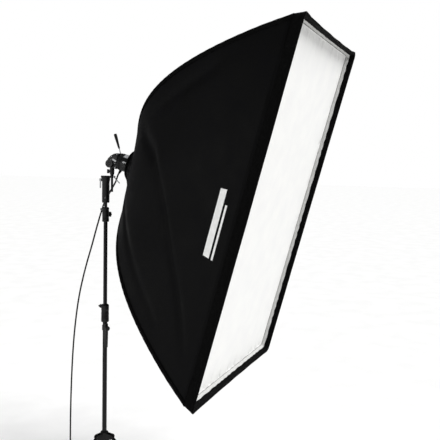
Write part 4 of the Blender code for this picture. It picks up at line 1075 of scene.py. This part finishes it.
def makeFlashHead():
    rear, front, radius = flash["rear"], flash["front"], flash["radius"]
    profile = [(0, rear), (0.0360, rear), (0.0430, rear + 0.004), (radius, rear + 0.012)]
    for depth in flash["grooves"]:
        half, deep = flash["grooveWide"] / 2, radius - flash["grooveDeep"]
        profile += [(radius, depth - half), (deep, depth - half + 0.0005), (deep, depth + half - 0.0005),
                    (radius, depth + half)]
    profile += [(radius, 0.1105), (radius - 0.0006, 0.1110), (radius - 0.0006, 0.1116), (radius, 0.1120),
                (radius, front - 0.002), (radius - 0.001, front), (0.0440, front), (0.0440, front - 0.030),
                (0, front - 0.030)]
    turnedFor("head_housing", profile, headStart, ahead, segments=112, radius=0.0004)
    turnedFor("lock_ring", [(radius + 0.0003, 0.1120), (radius + 0.0030, 0.1120), (radius + 0.0035, 0.1130),
                            (radius + 0.0035, 0.1150), (radius + 0.0003, 0.1150), (radius + 0.0003, 0.1120)],
              headStart, ahead, segments=240, ripple=knurl(60, 0.0005, 0.1121, 0.1149), radius=0.0003)
    insert = [(radius + 0.0003, 0.1155), (0.0575, 0.1155), (0.0596, 0.1170), (0.0596, 0.1240), (0.0588, 0.1245),
              (0.0588, 0.1275), (0.0596, 0.1280), (0.0596, 0.1480), (0.0560, 0.1500), (radius + 0.0003, 0.1500),
              (radius + 0.0003, 0.1155)]
    turnedFor("speedring_insert", insert, headStart, ahead, segments=96, radius=0.0004)
    socket = [(0, front - 0.0297), (0.0330, front - 0.0297), (0.0330, front - 0.0180), (0.0100, front - 0.0180),
              (0.0100, front - 0.0240), (0, front - 0.0240)]
    turnedFor("lamp_socket", socket, headStart, ahead, radius=0.0008)
    lamp = [(0, front - 0.0237), (0.0090, front - 0.0237), (0.0090, front - 0.0100), (0.0070, front - 0.0080),
            (0.0070, front + 0.0180), (0.0050, front + 0.0230), (0, front + 0.0250)]
    turnedFor("modelling_lamp", lamp, headStart, ahead, segments=48, radius=0.003)
    makeFlashTube(front)
    rise = np.linspace(0, math.pi / 2, 20)
    bulge, wall, foot = flash["bulge"], flash["bulge"] - 0.0025, front + 0.0010
    outer = [(bulge * math.cos(a), foot + bulge * math.sin(a)) for a in rise[:-1]]
    inner = [(wall * math.cos(a), foot + wall * math.sin(a)) for a in rise[-2::-1]]
    dome = [(bulge, front - 0.012), *outer, (0, foot + bulge)]
    dome += [(0, foot + wall), *inner, (wall, front - 0.012), (bulge, front - 0.012)]
    turnedFor("glass_dome", dome, headStart, ahead, segments=64, radius=0.0003)
    gland = [(0, -0.0015), (0.0080, -0.0015), (0.0080, 0.0060), (0.0072, 0.0070)]
    for ring in range(4):
        start = 0.0078 + ring * 0.0027
        gland += [(0.0070 - 0.0002 * ring, start), (0.0070 - 0.0002 * ring, start + 0.0014),
                  (0.0056, start + 0.0018), (0.0056, start + 0.0024)]
    gland += [(0.0062, 0.0190), (0.0049, 0.0190), (0.0049, 0.0120), (0, 0.0120)]
    # its place and way in the head: across, up from the axis, and forward
    place = headStart + 0.006 * across - 0.0455 * upward + 0.0580 * ahead
    turnedFor("cable_gland", gland, place, unit(-0.94 * upward - 0.34 * ahead), finishes["black_rubber"],
              segments=40, radius=0.0003)
    print("flash head made")


def makeFlashTube(front):
    # a ring of glass tube, and its two legs down into the socket
    turnBy, tubeTurn = np.meshgrid(np.linspace(0, 2 * math.pi, 96, endpoint=False),
                                 np.linspace(0, 2 * math.pi, 14, endpoint=False), indexing="ij")
    reach = flash["filament"] + 0.0035 * np.cos(tubeTurn)
    height = front + 0.0050 + 0.0035 * np.sin(tubeTurn)
    points = (headStart + height[..., None] * ahead + (reach * np.cos(turnBy))[..., None] * across
              + (reach * np.sin(turnBy))[..., None] * upward)
    mesh = cleanUp(meshOf("flash_tube_fine", points, gridFaces(96, 14, True, True)))
    piece = addPiece("flash_tube_fine", mesh, finishes["frosted_glass"], "flash_head")
    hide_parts("flash_tube")
    for side in (-1, 1):
        foot = headStart + side * flash["filament"] * across
        leg = [(0, front - 0.0178), (0.0026, front - 0.0178), (0.0026, front + 0.003), (0, front + 0.003)]
        turned("tube_leg_" + sideName(side), leg, foot, ahead, finishes["satin_steel"], "flash_head",
               20, radius=0.0004)


makeFlashHead()


def makeRearControls():
    # the back of the hood carries two dials, a dark display window and a row of keys, all unmarked
    body, slot = "flash_head", slots["rear_cover"]
    finePart("rear_cover", bevel=0.0010)
    lean = math.radians(14)     # the pale side plates, a painted highlight, slope a little
    sides = [across, -math.cos(lean) * ahead + math.sin(lean) * upward,
             math.sin(lean) * ahead + math.cos(lean) * upward]
    # plain pale label plates lie on the housing's sides, and a pale band round its top is a painted highlight, all 0.4
    # mm proud
    plates = {"left": ((0.0820, 0.1070), (4, 14)), "right": ((0.0820, 0.1070), (166, 176)),
              # the top band is a painted highlight: pale film where the housing's top catches the light
              "top": ((0.0740, 0.1060), (44, 136))}
    for name, ((near, far), (low, high)) in plates.items():
        depth, turnBy = np.meshgrid(np.linspace(near, far, 6), np.radians(np.linspace(low, high, 60)), indexing="ij")
        outward = -np.cos(turnBy)[..., None] * across + np.sin(turnBy)[..., None] * upward
        thinPlate("head_plate_" + name, headStart + depth[..., None] * ahead + (flash["radius"] + 0.0001) * outward,
                  outward, 0.0004, labelFilmAndPaintedHighlight, body)
    # the hood's side faces each carry a pale plate, a painted highlight along the hood's rear edge, and its slope a
    # grey film with the display
    for side in (-1, 1):
        smallBlock("side_painted_highlight_" + sideName(side), tiltPoint(side * 0.03315, -0.0245, 0.0250),
                   sides, (0.0005, 0.0240, 0.0075), labelFilmAndPaintedHighlight, body, 0.0002)
    slope = unit(-0.0120 * ahead - 0.0100 * upward)
    outwards = unit(np.cross(across, slope))
    outwards *= np.sign(outwards @ (-ahead + upward))
    start = tiltPoint(0, -0.0030, 0.0490)
    for name, along, middle, size, finish in (
            ("display_window", 0.0085, -0.0130, (0.0240, 0.0110, 0.0008), finishes["black_plastic"]),
            ("display_surround", 0.0085, -0.0130, (0.0280, 0.0145, 0.0005), labelFilmAndPaintedHighlight),
            ("key_left", 0.0050, 0.0080, (0.0070, 0.0036, 0.0016), finishes["black_rubber"]),
            ("key_middle", 0.0050, 0.0165, (0.0070, 0.0036, 0.0016), finishes["black_rubber"]),
            ("key_right", 0.0050, 0.0250, (0.0070, 0.0036, 0.0016), finishes["black_rubber"])):
        raised = 0.0003 + (0.0004 if name == "display_window" else 0.0)
        smallBlock(name, start + along * slope + middle * across + raised * outwards, [across, slope, outwards],
                   size, finish, body, 0.0003)
    for number, (along, middle) in enumerate(((0.0165, 0.0105), (0.0165, 0.0240))):
        turned(f"power_dial_{number}", [(0, -0.0010), (0.0056, -0.0010), (0.0056, 0.0004), (0.0046, 0.0010),
                                        (0.0044, 0.0062), (0.0036, 0.0070), (0, 0.0070)],
               start + along * slope + middle * across, outwards, finishes["black_plastic"], body, 72,
               knurl(24, 0.0004, 0.0012, 0.0060), radius=0.0004)
    # four screws on each side of the hood stand 1 mm proud
    screws = ((-0.0330, 0.0590), (-0.0330, 0.0100), (-0.0040, 0.0400), (0.0140, 0.0090))
    for side in (-1, 1):
        for number, (back, up) in enumerate(screws):
            turned(f"hood_screw_{number}_{sideName(side)}",
                   [(0, -0.0004), (0.0023, -0.0004), (0.0023, 0.0004), (0.0016, 0.0009), (0.0009, 0.0010),
                    (0.0007, 0.0004), (0, 0.0003)], tiltPoint(side * 0.0330, back, up), side * across,
                   finishes["satin_steel"], body, 24, radius=0.0002)
    print("rear controls made")


makeRearControls()


def makeTiltParts():
    knob = [(0, 0.0018), (0.0060, 0.0018), (0.0060, 0.0002), (0.0195, 0.0002), (0.0225, 0.0025),
            (0.0225, 0.0105), (0.0205, 0.0125), (0.0165, 0.0125), (0.0155, 0.0117), (0.0110, 0.0117),
            (0.0100, 0.0125), (0.0075, 0.0125), (0.0060, 0.0105), (0, 0.0105)]
    turnedFor("tilt_knob", knob, tiltAt - 0.0258 * across, -across, segments=160,
              ripple=knurl(20, 0.0016, 0.0010, 0.0120), radius=0.0006)
    finePart("tilt_lever", bevel=0.0005)
    start, end = tiltAt + np.array([0.085, 0.0030, 0.083]), tiltAt + np.array([0.085, 0.0290, 0.164])
    grip = [(0.0035, 0), (0.0050, 0), (0.0056, 0.0080)]
    for rib in range(9):
        low = 0.0180 + rib * 0.0062
        wide = 0.0062 + 0.0024 * min(max((low - 0.0200) / 0.0400, 0), 1)
        grip += [(wide, low), (wide, low + 0.0042), (wide - 0.0007, low + 0.0048), (wide - 0.0007, low + 0.0056)]
    grip += [(0.0085, 0.0750), (0.0085, 0.0800), (0.0065, 0.0840), (0, 0.0850)]
    inner = [(0, 0.0125), (0.0035, 0.0125), (0.0035, 0)]
    turnedFor("lever_grip", [*grip, *inner], start, unit(end - start), segments=48, radius=0.0006)
    finePart("tilt_bracket", bevel=0.0007)
    # the two cheeks of the bracket are held to the hood by socket screws
    for side in (-1, 1):
        for number, up in enumerate((-0.0110, 0.0110)):
            turned(f"bracket_screw_{number}_{sideName(side)}",
                   [(0, -0.0002), (0.0028, -0.0002), (0.0028, 0.0016), (0.0024, 0.0020), (0.0014, 0.0020),
                    (0.0013, 0.0006), (0, 0.0006)], tiltPoint(side * 0.0255, -0.0360, up), side * across,
                   finishes["satin_steel"], "flash_head", 24, radius=0.0002)
    print("tilt parts made")


makeTiltParts()


# Stand: tubes, collars and knobs turned round the column, whose middle stands at columnY

columnAt = np.array([0.0, columnY, 0.0])
straightUp = np.array([0.0, 0.0, 1.0])
tubes = {"base_tube": (0.0127, 0.0115, 0.070, 1.262), "lower_riser_tube": (0.0110, 0.0092, 0.620, 1.790),
         "upper_riser_tube": (0.0085, 0.0069, 0.900, 1.858)}


def makeTubes():
    for node, (outer, inner, bottom, top) in tubes.items():
        profile = [(inner, bottom), (outer, bottom), (outer, top), (inner, top), (inner, bottom)]
        turnedFor(node, profile, columnAt, straightUp, segments=64, radius=0.0005)
    print("tubes made")


makeTubes()


def makeCollars():
    # each collar: a waist with grip rings, a bevelled mouth, and a bored seat for the tube's end
    radius, low, high = 0.0215, 1.171, 1.271
    bore, lipBore, top = 0.0130, 0.0113, 1.2623
    outline = [(bore, low), (radius - 0.003, low), (radius, low + 0.004), (radius, low + 0.020)]
    for ring in range(4):
        z = low + 0.024 + ring * 0.006
        outline += [(radius, z), (radius - 0.0012, z + 0.0010), (radius - 0.0012, z + 0.0026), (radius, z + 0.0036)]
    outline += [(radius, low + 0.052), (radius - 0.0008, low + 0.053), (radius - 0.0008, low + 0.066),
                (radius, low + 0.067), (radius, high - 0.006), (radius - 0.005, high), (lipBore, high),
                (lipBore, top), (bore, top), (bore, low)]
    turnedFor("base_collar", outline, columnAt, straightUp, segments=96, radius=0.0006)
    knobAt = columnAt + np.array([0, radius, high - 0.013])
    knob = [(0, -0.0073), (0.0040, -0.0073), (0.0040, 0.0006), (0.0085, 0.0006), (0.0110, 0.003), (0.0108, 0.008),
            (0.0062, 0.0130), (0.0040, 0.019), (0, 0.020)]
    turnedFor("base_collar_knob", knob, knobAt, (0, 1, 0), segments=96,
              ripple=knurl(8, 0.0012, 0.0010, 0.0130), radius=0.0010)
    radius, low, high = 0.0190, 1.730, 1.810
    bore, lipBore, top = 0.0113, 0.0088, 1.7903
    outline = [(bore, low), (radius - 0.002, low), (radius, low + 0.003), (radius, low + 0.010)]
    for ring in range(3):
        z = low + 0.012 + ring * 0.0055
        outline += [(radius, z), (radius - 0.0011, z + 0.0010), (radius - 0.0011, z + 0.0024), (radius, z + 0.0034)]
    outline += [(radius, high - 0.020), (radius - 0.0008, high - 0.0195), (radius - 0.0008, high - 0.012),
                (radius, high - 0.0115), (radius, high - 0.005), (radius - 0.004, high), (lipBore, high),
                (lipBore, top), (bore, top), (bore, low)]
    turnedFor("riser_collar", outline, columnAt, straightUp, segments=96, radius=0.0006)
    side = levelWay(-20)
    at = columnAt + np.array([0, 0, high - 0.040])
    boss = [(0.0043, 0.0150), (0.0080, 0.0150), (0.0080, 0.0222), (0.0072, 0.0230), (0.0043, 0.0230), (0.0043, 0.0150)]
    turned("riser_collar_boss", boss, at, side, finishes[slots["riser_collar"]], "lower_riser",
           48, radius=0.0004)
    knob = [(0, 0.0118), (0.0040, 0.0118), (0.0040, 0.0233), (0.009, 0.0233), (0.016, 0.0273), (0.016, 0.0323),
            (0.0085, 0.0373), (0, 0.0373)]
    turnedFor("riser_collar_knob", knob, at, side, segments=144,
              ripple=knurl(6, 0.0035, 0.0240, 0.0370), radius=0.0018)
    print("collars made")


makeCollars()


topCasting = dict(top=1.9825, flange=0.011, rivetHeight=1.862, rivetReach=0.0204, spigotTop=2.028)


def makeTopCasting():
    # the casting at the top keeps its shape, with two rivets added
    finePart("column_head", bevel=0.0008, angle=30)
    c = topCasting
    top, under, spigotTop = c["top"], c["top"] - c["flange"], c["spigotTop"]
    for number, turnBy in enumerate((200, 340)):
        side = levelWay(turnBy)
        turned(f"casting_rivet_{number}",
               [(0, -0.001), (0.0026, -0.001), (0.0026, 0.0006), (0.0015, 0.0012), (0, 0.0014)],
               columnAt + np.array([0, 0, c["rivetHeight"]]) + c["rivetReach"] * side, side,
               finishes["satin_steel"], "upper_riser", 24, radius=0.0004)
    spigotAt = tiltAt * np.array([1, 1, 0])
    shank = [(0, under - 0.0765), (0.0050, under - 0.0765), (0.00625, under - 0.075), (0.00625, top + 0.0003),
             (0.009, top + 0.0003), (0.009, top + 0.0060), (0.008, top + 0.0060), (0.008, top + 0.0240),
             (0.0072, top + 0.0252), (0.0072, top + 0.0300), (0.008, top + 0.0312),
             (0.008, spigotTop - 0.0015), (0.007, spigotTop), (0, spigotTop)]
    spigot = turnedFor("spigot", shank, spigotAt, straightUp, finishes["black_tube"], segments=48, radius=0.0004)
    for node in ("spigot_lever", "socket_lever", "receiver_wing_knob", "tilt_axle"):
        finePart(node, bevel=0.0006, angle=38)
    receiver = finePart("stand_receiver", finishes["black_casting"], bevel=0.0006, angle=38)
    print("top casting made")


makeTopCasting()


def makeTheRest():
    # every other node: its own shape with rounded edges, in its own finish
    left = [name for name in nodes if not nodes[name].hide_render]
    for name in left:
        finePart(name, bevel=0.0006 if slots[name] != "black_rubber" else 0.0010, angle=38)
    print("rounded", len(left), "plain nodes:", *left)


makeTheRest()
